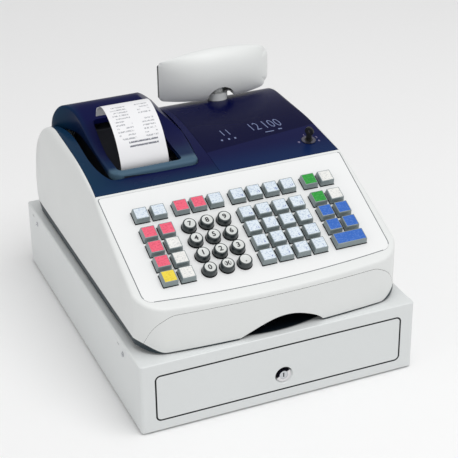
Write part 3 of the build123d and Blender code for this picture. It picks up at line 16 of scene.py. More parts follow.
import bpy
from mathutils import Matrix, Vector

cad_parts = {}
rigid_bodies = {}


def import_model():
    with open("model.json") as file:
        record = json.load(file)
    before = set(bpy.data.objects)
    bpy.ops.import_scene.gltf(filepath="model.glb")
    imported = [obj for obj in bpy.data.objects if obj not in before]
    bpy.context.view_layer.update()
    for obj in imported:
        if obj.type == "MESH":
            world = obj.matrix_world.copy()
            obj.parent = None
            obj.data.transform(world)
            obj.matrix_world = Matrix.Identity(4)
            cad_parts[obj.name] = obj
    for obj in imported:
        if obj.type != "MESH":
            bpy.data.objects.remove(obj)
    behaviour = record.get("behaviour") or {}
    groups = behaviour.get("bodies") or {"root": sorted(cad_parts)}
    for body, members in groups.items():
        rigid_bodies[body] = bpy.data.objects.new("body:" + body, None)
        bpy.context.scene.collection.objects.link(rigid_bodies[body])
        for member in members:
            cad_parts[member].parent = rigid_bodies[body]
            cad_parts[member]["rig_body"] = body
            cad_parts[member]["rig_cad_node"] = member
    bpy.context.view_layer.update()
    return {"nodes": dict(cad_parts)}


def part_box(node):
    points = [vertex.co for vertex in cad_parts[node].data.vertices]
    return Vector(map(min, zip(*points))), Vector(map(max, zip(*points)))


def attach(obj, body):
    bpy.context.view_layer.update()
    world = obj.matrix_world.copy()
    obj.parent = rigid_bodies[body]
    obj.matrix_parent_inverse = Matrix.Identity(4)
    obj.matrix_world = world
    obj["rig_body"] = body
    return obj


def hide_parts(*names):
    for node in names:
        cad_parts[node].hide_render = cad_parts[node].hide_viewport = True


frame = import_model()

log = logging.getLogger("ticket_register")

MM = 0.001
Colour = tuple[float, float, float]
FaceTest = Callable[[Vector, Vector], bool]
FACING = 0.9  # A face looks along an axis when its normal has at least this much of it.
FLAT = 0.99  # A face lies square to an axis when its normal has at least this much of it.


# ---------------------------------------------------------------- colours
def srgb(red: int, green: int, blue: int) -> Colour:
    """A colour given as it looks on a screen, 0 to 255, in the renderer's linear values.

    Args:
        red: Red, 0 to 255.
        green: Green, 0 to 255.
        blue: Blue, 0 to 255.

    Returns:
        The linear colour.
    """

    def straight(value: int) -> float:
        """One channel made linear."""
        v = value / 255
        return v / 12.92 if v <= 0.04045 else ((v + 0.055) / 1.055) ** 2.4

    return (straight(red), straight(green), straight(blue))


def shaded(colour: Colour, factor: float) -> Colour:
    """A colour made lighter or darker by one factor."""
    return (min(1.0, colour[0] * factor), min(1.0, colour[1] * factor), min(1.0, colour[2] * factor))


# ---------------------------------------------------------------- shared effects
class EffectGroup:
    """A shader node group under construction: it takes a place and some values and gives one value."""

    def __init__(self, name: str, output: str, **inputs: float | Colour) -> None:
        """Make the group with its sockets.

        Args:
            name: The group's name.
            output: The output's name; Color makes a colour, any other name a number.
            **inputs: Its inputs with their first values, where underscores stand for spaces.
        """
        self.tree = bpy.data.node_groups.new(name, "ShaderNodeTree")
        sockets = self.tree.interface
        sockets.new_socket("Place", in_out="INPUT", socket_type="NodeSocketVector")
        for label, value in inputs.items():
            colour = isinstance(value, tuple)
            kind = "NodeSocketColor" if colour else "NodeSocketFloat"
            made = sockets.new_socket(label.replace("_", " "), in_out="INPUT", socket_type=kind)
            made.default_value = (*value, 1.0) if colour else value
        kind = "NodeSocketColor" if output == "Color" else "NodeSocketFloat"
        sockets.new_socket(output, in_out="OUTPUT", socket_type=kind)
        self.given = self.tree.nodes.new("NodeGroupInput").outputs
        self.result = self.tree.nodes.new("NodeGroupOutput").inputs[0]

    def node(self, kind: str, **sources: bpy.types.NodeSocket) -> bpy.types.Node:
        """Add a node and lead sources into its inputs, where underscores stand for spaces.

        Args:
            kind: The node's type.
            **sources: What feeds its inputs.

        Returns:
            The node.
        """
        node = self.tree.nodes.new(kind)
        for label, source in sources.items():
            self.tree.links.new(source, node.inputs[label.replace("_", " ")])
        return node

    def noise(self, detail: float, place: bpy.types.NodeSocket | None = None,
              scale: bpy.types.NodeSocket | None = None) -> bpy.types.NodeSocket:
        """Add a noise texture at the group's own place and scale.

        Args:
            detail: Its octaves.
            place: Another place to read it at.
            scale: Another scale.

        Returns:
            The noise, 0 to 1.
        """
        node = self.node("ShaderNodeTexNoise", Vector=place or self.given["Place"],
                         Scale=scale or self.given["Scale"])
        node.inputs["Detail"].default_value = detail
        return node.outputs["Fac"]

    def finish(self, source: bpy.types.NodeSocket) -> bpy.types.NodeTree:
        """Lead a value out of the group and hand the group over."""
        self.tree.links.new(source, self.result)
        return self.tree


@cache
def tone_effect() -> bpy.types.NodeTree:
    """Slow colour variation between two tones, as moulded or painted parts have.

    Returns:
        The node group.
    """
    group = EffectGroup("tone_variation", "Color", Light=(1.0, 1.0, 1.0), Dark=(0.8, 0.8, 0.8), Scale=12.0)
    mix = group.node("ShaderNodeMix", Factor=group.noise(3.0))
    mix.data_type = "RGBA"
    for slot, tone in ((6, "Light"), (7, "Dark")):
        group.tree.links.new(group.given[tone], mix.inputs[slot])
    return group.finish(mix.outputs[2])


@cache
def grain_effect() -> bpy.types.NodeTree:
    """The fine spark-eroded grain of a moulding or the orange peel of a powder coat, as a height.

    Returns:
        The node group.
    """
    group = EffectGroup("surface_grain", "Height", Scale=900.0, Share_of_fine=0.5)
    finer = group.node("ShaderNodeMath")
    finer.operation = "MULTIPLY"
    finer.inputs[1].default_value = 3.1
    group.tree.links.new(group.given["Scale"], finer.inputs[0])
    mix = group.node("ShaderNodeMix", Factor=group.given["Share of fine"])
    for slot, height in ((2, group.noise(2.0)), (3, group.noise(1.0, scale=finer.outputs[0]))):
        group.tree.links.new(height, mix.inputs[slot])
    return group.finish(mix.outputs[0])


@cache
def patch_effect() -> bpy.types.NodeTree:
    """A value that wanders between two limits, for roughness that handling has made uneven.

    Returns:
        The node group.
    """
    group = EffectGroup("handling_patches", "Value", Low=0.3, High=0.4, Scale=25.0)
    spread = group.node("ShaderNodeMapRange", Value=group.noise(4.0), To_Min=group.given["Low"],
                        To_Max=group.given["High"])
    spread.inputs["From Min"].default_value = 0.3
    spread.inputs["From Max"].default_value = 0.7
    return group.finish(spread.outputs["Result"])


@cache
def brushing_effect() -> bpy.types.NodeTree:
    """Fine drawn lines along X, as on rolled or brushed sheet, as a height.

    Returns:
        The node group.
    """
    group = EffectGroup("drawn_lines", "Height", Scale=300.0)
    stretch = group.node("ShaderNodeVectorMath")
    stretch.operation = "MULTIPLY"
    stretch.inputs[1].default_value = (0.03, 1.0, 1.0)
    group.tree.links.new(group.given["Place"], stretch.inputs[0])
    return group.finish(group.noise(3.0, place=stretch.outputs[0]))


# ---------------------------------------------------------------- material sheets
class Field:
    """A value that varies over a surface; plain arithmetic on it adds the nodes that work it out."""

    def __init__(self, tree: bpy.types.NodeTree, socket: bpy.types.NodeSocket) -> None:
        """Keep the value's socket and the material's tree that it is in."""
        self.tree = tree
        self.socket = socket

    def _math(self, operation: str, *others: "Field | float") -> "Field":
        """One arithmetic node on this value and any others.

        Args:
            operation: What it does, in the renderer's words.
            *others: The values after this one.

        Returns:
            The result.
        """
        node = self.tree.nodes.new("ShaderNodeMath")
        node.operation = operation
        for slot, value in enumerate((self, *others)):
            lead_in(self.tree, node.inputs[slot], value)
        return Field(self.tree, node.outputs[0])

    def __add__(self, other: "Field | float") -> "Field":
        """The sum."""
        return self._math("ADD", other)

    def __sub__(self, other: "Field | float") -> "Field":
        """The difference."""
        return self._math("SUBTRACT", other)

    def __mul__(self, other: "Field | float") -> "Field":
        """The product; of two masks, where both hold."""
        return self._math("MULTIPLY", other)

    def __abs__(self) -> "Field":
        """The value without its sign."""
        return self._math("ABSOLUTE")

    def __gt__(self, other: "Field | float") -> "Field":
        """A mask of where it is greater."""
        return self._math("GREATER_THAN", other)

    def __lt__(self, other: "Field | float") -> "Field":
        """A mask of where it is less."""
        return self._math("LESS_THAN", other)

    def root(self) -> "Field":
        """The square root."""
        return self._math("SQRT")

    def whole(self) -> "Field":
        """The value rounded down."""
        return self._math("FLOOR")

    def part(self) -> "Field":
        """What rounding down takes off."""
        return self._math("FRACT")

    def at_least(self, other: "Field | float") -> "Field":
        """The greater of two; of two masks, where either holds."""
        return self._math("MAXIMUM", other)

    def at_most(self, other: "Field | float") -> "Field":
        """The smaller of two."""
        return self._math("MINIMUM", other)

    def between(self, low: float, high: float) -> "Field":
        """A mask of where it lies between two limits."""
        return (self > low) * (self < high)

    def ramp(self, start: float, end: float, top: float = 1.0, kind: str = "SMOOTHSTEP") -> "Field":
        """A mask that rises from nothing to its top as the value goes from start to end.

        Args:
            start: Where it starts.
            end: Where it reaches its top; less than start for a mask of low values.
            top: Its highest value.
            kind: How it rises, in the renderer's words.

        Returns:
            The mask.
        """
        node = self.tree.nodes.new("ShaderNodeMapRange")
        node.interpolation_type = kind
        for label, value in (("Value", self), ("From Min", start), ("From Max", end), ("To Max", top)):
            lead_in(self.tree, node.inputs[label], value)
        return Field(self.tree, node.outputs["Result"])


def lead_in(tree: bpy.types.NodeTree, socket: bpy.types.NodeSocket, value: Field | Colour | float) -> None:
    """Set an input or link what feeds it.

    Args:
        tree: The tree that both are in.
        socket: The input.
        value: A plain value, a colour without its alpha, or a changing value.
    """
    if isinstance(value, Field):
        tree.links.new(value.socket, socket)
    elif isinstance(value, tuple) and socket.type == "RGBA":
        socket.default_value = (*value, 1.0)
    else:
        socket.default_value = value


class Sheet:
    """A material's node sheet, with short ways to add what the finishes need."""

    def __init__(self, name: str) -> None:
        """Make the material and keep its main nodes.

        Args:
            name: The material's name.
        """
        self.material = bpy.data.materials.new(name)
        self.material.use_nodes = True
        self.tree = self.material.node_tree
        self.shader = self.tree.nodes["Principled BSDF"]
        self.place = Field(self.tree, self.tree.nodes.new("ShaderNodeTexCoord").outputs["Object"])

    def fill(self, node: bpy.types.Node, **values: Field | Colour | float) -> bpy.types.Node:
        """Set or feed a node's inputs, where underscores stand for spaces, and hand it back.

        Args:
            node: The node.
            **values: Its inputs, each a plain value, a colour or a changing value.

        Returns:
            The node.
        """
        for label, value in values.items():
            lead_in(self.tree, node.inputs[label.replace("_", " ")], value)
        return node

    def node(self, kind: str, **values: Field | Colour | float) -> bpy.types.Node:
        """Add a node with its inputs."""
        return self.fill(self.tree.nodes.new(kind), **values)

    def effect(self, group: bpy.types.NodeTree, **values: Field | Colour | float) -> Field:
        """Place a shared effect with its own values and give its output.

        Args:
            group: The effect's node group.
            **values: Its inputs, where underscores stand for spaces.

        Returns:
            The effect's output.
        """
        node = self.tree.nodes.new("ShaderNodeGroup")
        node.node_tree = group
        return Field(self.tree, self.fill(node, Place=self.place, **values).outputs[0])

    def tones(self, colour: Colour, dark: float, scale: float = 12.0) -> Field:
        """A colour that varies slowly.

        Args:
            colour: The lighter tone.
            dark: How much of it is left in the darker tone.
            scale: How fine the variation is.

        Returns:
            The colour over the surface.
        """
        return self.effect(tone_effect(), Light=colour, Dark=shaded(colour, dark), Scale=scale)

    def blend(self, mask: Field, a: Field | Colour, b: Field | Colour) -> Field:
        """A colour between two, by a mask.

        Args:
            mask: 0 for the first colour, 1 for the second.
            a: The first colour.
            b: The second colour.

        Returns:
            The blended colour.
        """
        node = self.tree.nodes.new("ShaderNodeMix")
        node.data_type = "RGBA"
        lead_in(self.tree, node.inputs["Factor"], mask)
        for slot, value in ((6, a), (7, b)):
            lead_in(self.tree, node.inputs[slot], value)
        return Field(self.tree, node.outputs[2])

    def split(self, vector: Field) -> tuple[Field, Field, Field]:
        """A vector's three separate values."""
        outputs = self.node("ShaderNodeSeparateXYZ", Vector=vector).outputs
        return Field(self.tree, outputs[0]), Field(self.tree, outputs[1]), Field(self.tree, outputs[2])

    def axes(self) -> tuple[Field, Field, Field]:
        """The place on the piece as three separate values."""
        return self.split(self.place)

    def noise(self, place: Field, detail: float) -> Field:
        """A noise texture read at a place that is already scaled."""
        node = self.node("ShaderNodeTexNoise", Vector=place, Scale=1.0, Detail=detail)
        return Field(self.tree, node.outputs["Fac"])

    def bump(self, height: Field, distance: float, strength: float = 1.0) -> None:
        """Raise the surface by a height.

        Args:
            height: The height, 0 to 1.
            distance: How far 1 stands out, in metres.
            strength: How strongly it shows.
        """
        node = self.node("ShaderNodeBump", Height=height, Distance=distance, Strength=strength)
        self.fill(self.shader, Normal=Field(self.tree, node.outputs[0]))

    def grain(self, scale: float, distance: float, fine: float = 0.5, strength: float = 1.0) -> None:
        """Raise the surface by the shared grain.

        Args:
            scale: How fine the grain is.
            distance: How far it stands out, in metres.
            fine: The share of its finer half.
            strength: How strongly it shows.
        """
        self.bump(self.effect(grain_effect(), Scale=scale, Share_of_fine=fine), distance, strength)

    def finish(self, base: Field, low: float, high: float, scale: float = 25.0) -> bpy.types.Material:
        """Lead in the colour and an uneven roughness, and hand the material over.

        Args:
            base: The colour.
            low: The least roughness.
            high: The greatest roughness.
            scale: How fine its patches are.

        Returns:
            The finished material.
        """
        rough = self.effect(patch_effect(), Low=low, High=high, Scale=scale)
        self.fill(self.shader, Base_Color=base, Roughness=rough)
        return self.material


# ---------------------------------------------------------------- finishes
@dataclass(frozen=True)
class Moulding:
    """An opaque plastic moulding with a fine eroded grain."""

    name: str
    colour: Colour
    roughness: float = 0.42
    variation: float = 0.04
    grain_scale: float = 1400.0
    grain_height: float = 0.00002
    coat: float = 0.0
    coat_roughness: float = 0.08

    def material(self) -> bpy.types.Material:
        """Build the finish.

        Returns:
            The material.
        """
        sheet = Sheet(self.name)
        sheet.grain(self.grain_scale, self.grain_height)
        if self.coat:
            sheet.fill(sheet.shader, Coat_Weight=self.coat, Coat_Roughness=self.coat_roughness)
        base = sheet.tones(self.colour, dark=1 - self.variation)
        return sheet.finish(base, low=self.roughness - 0.04, high=self.roughness + 0.05)


@dataclass(frozen=True)
class PowderCoat:
    """Sheet steel under a satin powder coat with a slight orange peel.

    The cabinet's top also has painted shade under the register's front, and its front painted
    shade in a line round the drawer's gap and at the top of the lock's dimple.
    """

    name: str
    colour: Colour
    roughness: float = 0.38
    grain_scale: float = 420.0
    grain_height: float = 0.00004
    pad_colour: Colour | None = None
    pad_top: float = 0.0862
    pad_front: float = -0.2035
    pad_back: float = -0.17
    pad_half: float = 0.052
    pad_bow: float = 3.2
    pad_edge: tuple[float, float] = (-0.001, 0.003)
    gap_colour: Colour | None = None
    gap_half: tuple[float, float] = (0.1476, 0.02835)
    gap_middle: float = 0.04325
    gap_radius: float = 0.0056
    gap_width: float = 0.001
    gap_blur: float = 0.0002
    front: float = -0.2105
    lock: tuple[float, float] = (0.003, 0.0326)
    lock_reach: float = 0.0108
    lock_blur: float = 0.0006
    lock_slant: float = 0.5
    lock_shade: tuple[float, float] = (-0.002, 0.003)

    def pad_mask(self, sheet: Sheet) -> Field:
        """Where shade is painted on the cabinet's top, under the register's front edge.

        Args:
            sheet: The sheet in hand.

        Returns:
            The mask.
        """
        x, y, z = sheet.axes()
        depth = y - self.pad_front - x * x * self.pad_bow
        on_top = depth.ramp(*self.pad_edge) * (z > self.pad_top)
        return on_top * (abs(x) < self.pad_half) * (y < self.pad_back)

    def gap_mask(self, sheet: Sheet) -> Field:
        """Where shade is painted in a line round the drawer's front, and at the top of the lock's dimple.

        Args:
            sheet: The sheet in hand.

        Returns:
            The mask.
        """
        x, y, z = sheet.axes()
        over_x = abs(x) - (self.gap_half[0] - self.gap_radius)
        over_z = abs(z - self.gap_middle) - (self.gap_half[1] - self.gap_radius)
        out_x, out_z = over_x.at_least(0.0), over_z.at_least(0.0)
        corner = (out_x * out_x + out_z * out_z).root()
        away = corner + over_x.at_least(over_z).at_most(0.0) - self.gap_radius
        line = abs(away).ramp(self.gap_width + self.gap_blur, self.gap_width - self.gap_blur)
        side, up = x - self.lock[0], z - self.lock[1]
        dimple = (side * side + up * up).root().ramp(self.lock_reach, self.lock_reach - self.lock_blur)
        shade = dimple * (up - side * self.lock_slant).ramp(*self.lock_shade)
        return (line * (y < self.front)).at_least(shade)

    def material(self) -> bpy.types.Material:
        """Build the finish.

        Returns:
            The material.
        """
        sheet = Sheet(self.name)
        base = sheet.tones(self.colour, dark=0.965, scale=8.0)
        # Painted shade on the top, under the register's front edge.
        if self.pad_colour:
            base = sheet.blend(self.pad_mask(sheet), base, self.pad_colour)
        # Painted shade in a line round the drawer and at the top of the lock's dimple.
        if self.gap_colour:
            base = sheet.blend(self.gap_mask(sheet), base, self.gap_colour)
        sheet.grain(self.grain_scale, self.grain_height, fine=0.35)
        return sheet.finish(base, low=self.roughness - 0.05, high=self.roughness + 0.05, scale=14.0)


@dataclass(frozen=True)
class Band:
    """A stretch along one axis over which a finish turns to a lighter colour, as a painted highlight."""

    axis: int
    start: float
    end: float
    colour: Colour
    amount: float = 0.8


@dataclass(frozen=True)
class TintedCover:
    """Tinted acrylic over a dark interior, with an optional darker field behind a slanting line and stretches of
    painted highlight.
    """

    name: str
    colour: Colour
    field_colour: Colour | None = None
    line_start: tuple[float, float] = (0.0, -0.002)
    line_end: tuple[float, float] = (0.1497, 0.017)
    line_edge: tuple[float, float] = (-0.0004, 0.0006)
    field_fade: tuple[float, float, float] = (0.05, 0.17, 0.75)
    roughness: float = 0.24
    gloss: float = 0.06
    bands: tuple[Band, ...] = ()

    def with_field(self, sheet: Sheet, base: Field, x: Field, y: Field) -> Field:
        """Lay the darker field over the colour, fading back to the cover's own colour at the rear.

        Args:
            sheet: The sheet in hand.
            base: The colour so far.
            x: The place across.
            y: The place from front to back.

        Returns:
            The colour with the field.
        """
        slope = (self.line_end[1] - self.line_start[1]) / (self.line_end[0] - self.line_start[0])
        behind = y - (x * slope + (self.line_start[1] - slope * self.line_start[0]))
        field = sheet.tones(self.field_colour, dark=0.7, scale=7.0)
        far = sheet.blend(y.ramp(*self.field_fade), field, self.colour)
        return sheet.blend(behind.ramp(*self.line_edge), base, far)

    def material(self) -> bpy.types.Material:
        """Build the finish.

        Returns:
            The material.
        """
        sheet = Sheet(self.name)
        base = sheet.tones(self.colour, dark=0.75, scale=9.0)
        axes = sheet.axes()
        # Each stretch blends in a painted highlight.
        for band in self.bands:
            base = sheet.blend(axes[band.axis].ramp(band.start, band.end, band.amount), base, band.colour)
        if self.field_colour:
            base = self.with_field(sheet, base, axes[0], axes[1])
        sheet.grain(scale=160.0, distance=0.00003, fine=0.1, strength=0.4)
        sheet.fill(sheet.shader, Specular_IOR_Level=self.gloss)
        return sheet.finish(base, low=self.roughness - 0.03, high=self.roughness + 0.05, scale=18.0)


@dataclass(frozen=True)
class TuckedCase:
    """The case's plastic, with shade painted where its lower edge tucks under, most of all at the corners and
    sides.
    """

    name: str
    colour: Colour
    tuck_colour: Colour = srgb(8, 34, 44)
    front_edge: float = 0.0893
    side_rise: float = 0.0115
    side_from: tuple[float, float] = (0.128, 0.157)
    blur: float = 0.0002

    def material(self) -> bpy.types.Material:
        """Build the finish.

        Returns:
            The material.
        """
        sheet = Sheet(self.name)
        x, _, z = sheet.axes()
        edge = abs(x).ramp(*self.side_from, self.side_rise) + self.front_edge
        # Painted shade below the edge line where the case tucks under.
        tuck_shade = (edge - z).ramp(-self.blur, self.blur)
        base = sheet.blend(tuck_shade, sheet.tones(self.colour, dark=0.96), self.tuck_colour)
        sheet.grain(scale=1400.0, distance=0.00002)
        return sheet.finish(base, low=0.38, high=0.47)


@dataclass(frozen=True)
class Metal:
    """Plated or bare metal, drawn along X where it is sheet, with a dimple's shade over a lock's face."""

    name: str
    colour: Colour
    roughness: float = 0.3
    lines: bool = True
    shaded_lock: tuple[float, float] | None = None
    shade_colour: Colour = srgb(12, 12, 20)
    shade_turn: tuple[float, float] = (-0.45, 0.9)
    shade_edge: tuple[float, float] = (0.0006, 0.0022)

    def material(self) -> bpy.types.Material:
        """Build the finish.

        Returns:
            The material.
        """
        sheet = Sheet(self.name)
        sheet.fill(sheet.shader, Metallic=1.0)
        base = sheet.tones(self.colour, dark=0.86, scale=30.0)
        if self.shaded_lock:
            x, _, z = sheet.axes()
            side = (x - self.shaded_lock[0]) * self.shade_turn[0]
            up = (z - self.shaded_lock[1]) * self.shade_turn[1] + side
            base = sheet.blend(up.ramp(*self.shade_edge), base, self.shade_colour)
        if self.lines:
            sheet.bump(sheet.effect(brushing_effect(), Scale=700.0), distance=0.00002, strength=0.5)
        return sheet.finish(base, low=self.roughness - 0.06, high=self.roughness + 0.08, scale=45.0)


@dataclass(frozen=True)
class Rubber:
    """Matt black rubber with a light bloom."""

    name: str
    colour: Colour = srgb(28, 28, 30)
    bloom: float = 1.6

    def material(self) -> bpy.types.Material:
        """Build the finish.

        Returns:
            The material.
        """
        sheet = Sheet(self.name)
        bloom = shaded(self.colour, self.bloom)
        base = sheet.effect(tone_effect(), Light=bloom, Dark=self.colour, Scale=60.0)
        sheet.grain(scale=1000.0, distance=0.00003)
        return sheet.finish(base, low=0.68, high=0.85, scale=60.0)


@dataclass(frozen=True)
class CircuitBoard:
    """Green solder mask with faint tracks under it."""

    name: str
    colour: Colour = srgb(22, 84, 46)

    def material(self) -> bpy.types.Material:
        """Build the finish.

        Returns:
            The material.
        """
        sheet = Sheet(self.name)
        brick = sheet.node("ShaderNodeTexBrick", Vector=sheet.place, Scale=90.0, Mortar_Size=0.03,
                           Color1=self.colour, Color2=shaded(self.colour, 0.8),
                           Mortar=shaded(self.colour, 1.8)).outputs
        sheet.bump(Field(sheet.tree, brick["Fac"]), distance=0.00005, strength=0.4)
        return sheet.finish(Field(sheet.tree, brick["Color"]), low=0.25, high=0.4)


@dataclass(frozen=True)
class GlowingSegments:
    """The pale blue-white light of fluorescent display digits."""

    name: str
    colour: Colour = srgb(116, 128, 168)
    strength: float = 0.08

    def material(self) -> bpy.types.Material:
        """Build the finish.

        Returns:
            The material.
        """
        sheet = Sheet(self.name)
        glow = sheet.tones(self.colour, dark=0.7, scale=160.0)
        sheet.fill(sheet.shader, Base_Color=glow, Emission_Color=glow, Emission_Strength=self.strength,
                   Roughness=0.5)
        return sheet.material


@dataclass(frozen=True)
class TicketPaper:
    """Thermal paper, printed on its outer side or plain; the print follows the piece's own UV map."""

    name: str
    printed: bool = True
    paper: Colour = srgb(236, 236, 238)
    ink: Colour = srgb(86, 90, 104)
    rows: float = 18.0
    row_band: tuple[float, float] = (0.3, 0.74)
    print_span: tuple[float, float] = (0.10, 0.93)
    left_column: tuple[float, float] = (0.10, 0.44)
    right_column: tuple[float, float] = (0.64, 0.90)
    total_rows: tuple[float, float] = (3.5, 5.5)
    total_width: tuple[float, float] = (0.26, 0.86)
    stroke_scale: tuple[float, float] = (46.0, 2.4)
    stroke_from: float = 0.47
    word_scale: float = 7.0
    word_from: float = 0.22
    depth: float = 0.62
    bold_from: float = 0.4
    bold_depth: float = 0.95

    def print_mask(self, sheet: Sheet) -> Field:
        """Two columns of short words in rows, with two bold lines for the total under them.

        Args:
            sheet: The sheet in hand.

        Returns:
            How much ink there is, 0 to 1.
        """
        uv = sheet.node("ShaderNodeUVMap").outputs[0]
        across, along, _ = sheet.split(Field(sheet.tree, uv))
        row = along * self.rows
        number = row.whole()
        band = row.part().between(*self.row_band)
        stroke_place = sheet.node("ShaderNodeCombineXYZ", X=across * self.stroke_scale[0],
                                  Y=row * self.stroke_scale[1])
        strokes = sheet.noise(Field(sheet.tree, stroke_place.outputs[0]), detail=1.0)
        cell = sheet.node("ShaderNodeCombineXYZ", X=(across * self.word_scale).whole(), Y=number)
        words = sheet.node("ShaderNodeTexWhiteNoise", Vector=Field(sheet.tree, cell.outputs[0]))
        words.noise_dimensions = "2D"
        used = Field(sheet.tree, words.outputs["Value"]) > self.word_from
        columns = across.between(*self.left_column).at_least(across.between(*self.right_column))
        words_here = (strokes > self.stroke_from) * columns * used
        faint = band * words_here * along.between(*self.print_span) * self.depth
        total = number.between(*self.total_rows) * across.between(*self.total_width)
        bold = total * band * (strokes > self.bold_from) * self.bold_depth
        return (faint * (number > self.total_rows[1])).at_least(bold)

    def material(self) -> bpy.types.Material:
        """Build the finish.

        Returns:
            The material.
        """
        sheet = Sheet(self.name)
        base = sheet.tones(self.paper, dark=0.955, scale=40.0)
        if self.printed:
            base = sheet.blend(self.print_mask(sheet), base, self.ink)
        sheet.grain(scale=900.0, distance=0.00001)
        return sheet.finish(base, low=0.5, high=0.62)


@dataclass(frozen=True)
class KeyInsert:
    """The coloured paper under a clear key top: faint scribbles of print on a flat colour."""

    name: str
    colour: Colour
    print_colour: Colour
    amount: float = 0.5
    stroke_scale: tuple[float, float, float] = (420.0, 700.0, 700.0)
    stroke_edge: tuple[float, float] = (0.52, 0.6)

    def material(self) -> bpy.types.Material:
        """Build the finish.

        Returns:
            The material.
        """
        sheet = Sheet(self.name)
        base = sheet.effect(tone_effect(), Light=shaded(self.colour, 1.04), Dark=shaded(self.colour, 0.9),
                            Scale=70.0)
        stretch = sheet.tree.nodes.new("ShaderNodeVectorMath")
        stretch.operation = "MULTIPLY"
        for slot, value in enumerate((sheet.place, self.stroke_scale)):
            lead_in(sheet.tree, stretch.inputs[slot], value)
        scribble = sheet.noise(Field(sheet.tree, stretch.outputs[0]), detail=2.0)
        mask = scribble.ramp(*self.stroke_edge, self.amount, "LINEAR")
        sheet.fill(sheet.shader, Coat_Weight=0.2, Coat_Roughness=0.1)
        sheet.grain(scale=500.0, distance=0.00001)
        return sheet.finish(sheet.blend(mask, base, self.print_colour), low=0.2, high=0.3, scale=90.0)


@dataclass(frozen=True)
class StudioFloor:
    """The plain pale floor."""

    name: str = "studio_floor"
    colour: Colour = (0.92, 0.92, 0.92)

    def material(self) -> bpy.types.Material:
        """Build the finish.

        Returns:
            The material.
        """
        sheet = Sheet(self.name)
        sheet.fill(sheet.shader, Base_Color=sheet.tones(self.colour, dark=0.99, scale=2.0), Roughness=0.9)
        return sheet.material


# ---------------------------------------------------------------- shaping helpers
def deselect_all() -> None:
    """Leave edit mode and deselect every object."""
    if bpy.context.object and bpy.context.object.mode != "OBJECT":
        bpy.ops.object.mode_set(mode="OBJECT")
    bpy.ops.object.select_all(action="DESELECT")


def pick(piece: bpy.types.Object) -> None:
    """Make one object the only selected and active one.

    Args:
        piece: The object.
    """
    deselect_all()
    piece.select_set(True)
    bpy.context.view_layer.objects.active = piece


def fresh(piece: bpy.types.Object) -> bpy.types.Object:
    """Put a new piece's place into its mesh, so that its object sits at the origin, and hand it back.

    Args:
        piece: The piece, just made.

    Returns:
        The same piece.
    """
    pick(piece)
    bpy.ops.object.transform_apply(location=True, rotation=True, scale=True)
    return piece


def smooth(piece: bpy.types.Object, angle: float) -> None:
    """Shade a piece smooth except over edges sharper than an angle in degrees."""
    pick(piece)
    bpy.ops.object.shade_smooth_by_angle(angle=math.radians(angle))


def soften(piece: bpy.types.Object, width: float, segments: int, angle: float = 30.0) -> None:
    """Round a piece's edges.

    Args:
        piece: The piece in hand.
        width: How far the rounding comes in from an edge, in metres.
        segments: How many facets it has.
        angle: Edges blunter than this stay as they are, in degrees.
    """
    bevel = piece.modifiers.new("soft_edges", "BEVEL")
    bevel.width = width
    bevel.segments = segments
    bevel.limit_method = "ANGLE"
    bevel.angle_limit = math.radians(angle)
    pick(piece)
    bpy.ops.object.modifier_apply(modifier=bevel.name)


def select_faces(piece: bpy.types.Object, wanted: FaceTest) -> None:
    """Go to edit mode with just the faces selected whose centre and normal a test accepts.

    Args:
        piece: The piece in hand.
        wanted: Takes a face's centre and normal and says whether it is meant.
    """
    pick(piece)
    bpy.ops.object.mode_set(mode="EDIT")
    bpy.ops.mesh.select_mode(type="FACE")
    bpy.ops.mesh.select_all(action="DESELECT")
    bpy.ops.object.mode_set(mode="OBJECT")
    for face in piece.data.polygons:
        face.select = bool(wanted(face.center, face.normal))
    bpy.ops.object.mode_set(mode="EDIT")


def darken_faces(piece: bpy.types.Object, finish: bpy.types.Material, wanted: FaceTest) -> None:
    """Give the faces that a test accepts a further finish of their own.

    Args:
        piece: The piece in hand.
        finish: Their finish, added as the piece's next slot.
        wanted: Takes a face's centre and normal and says whether it is meant.
    """
    piece.data.materials.append(finish)
    slot = len(piece.data.materials) - 1
    for face in piece.data.polygons:
        if wanted(face.center, face.normal):
            face.material_index = slot


def darken_gap(one: bpy.types.Object, other: bpy.types.Object, finish: bpy.types.Material,
               reach: float = 0.0009) -> None:
    """Paint shade on the faces with which two pieces look at each other across a narrow gap, as a dark finish.

    Args:
        one: One piece.
        other: What lies across the gap.
        finish: The dark finish that paints the gap's shade.
        reach: The widest gap that counts, in metres.
    """
    start = 0.00001
    for piece, across in ((one, other), (other, one)):
        darken_faces(piece, finish, lambda centre, normal: across.ray_cast(
            centre + normal * start, normal, distance=reach)[0])


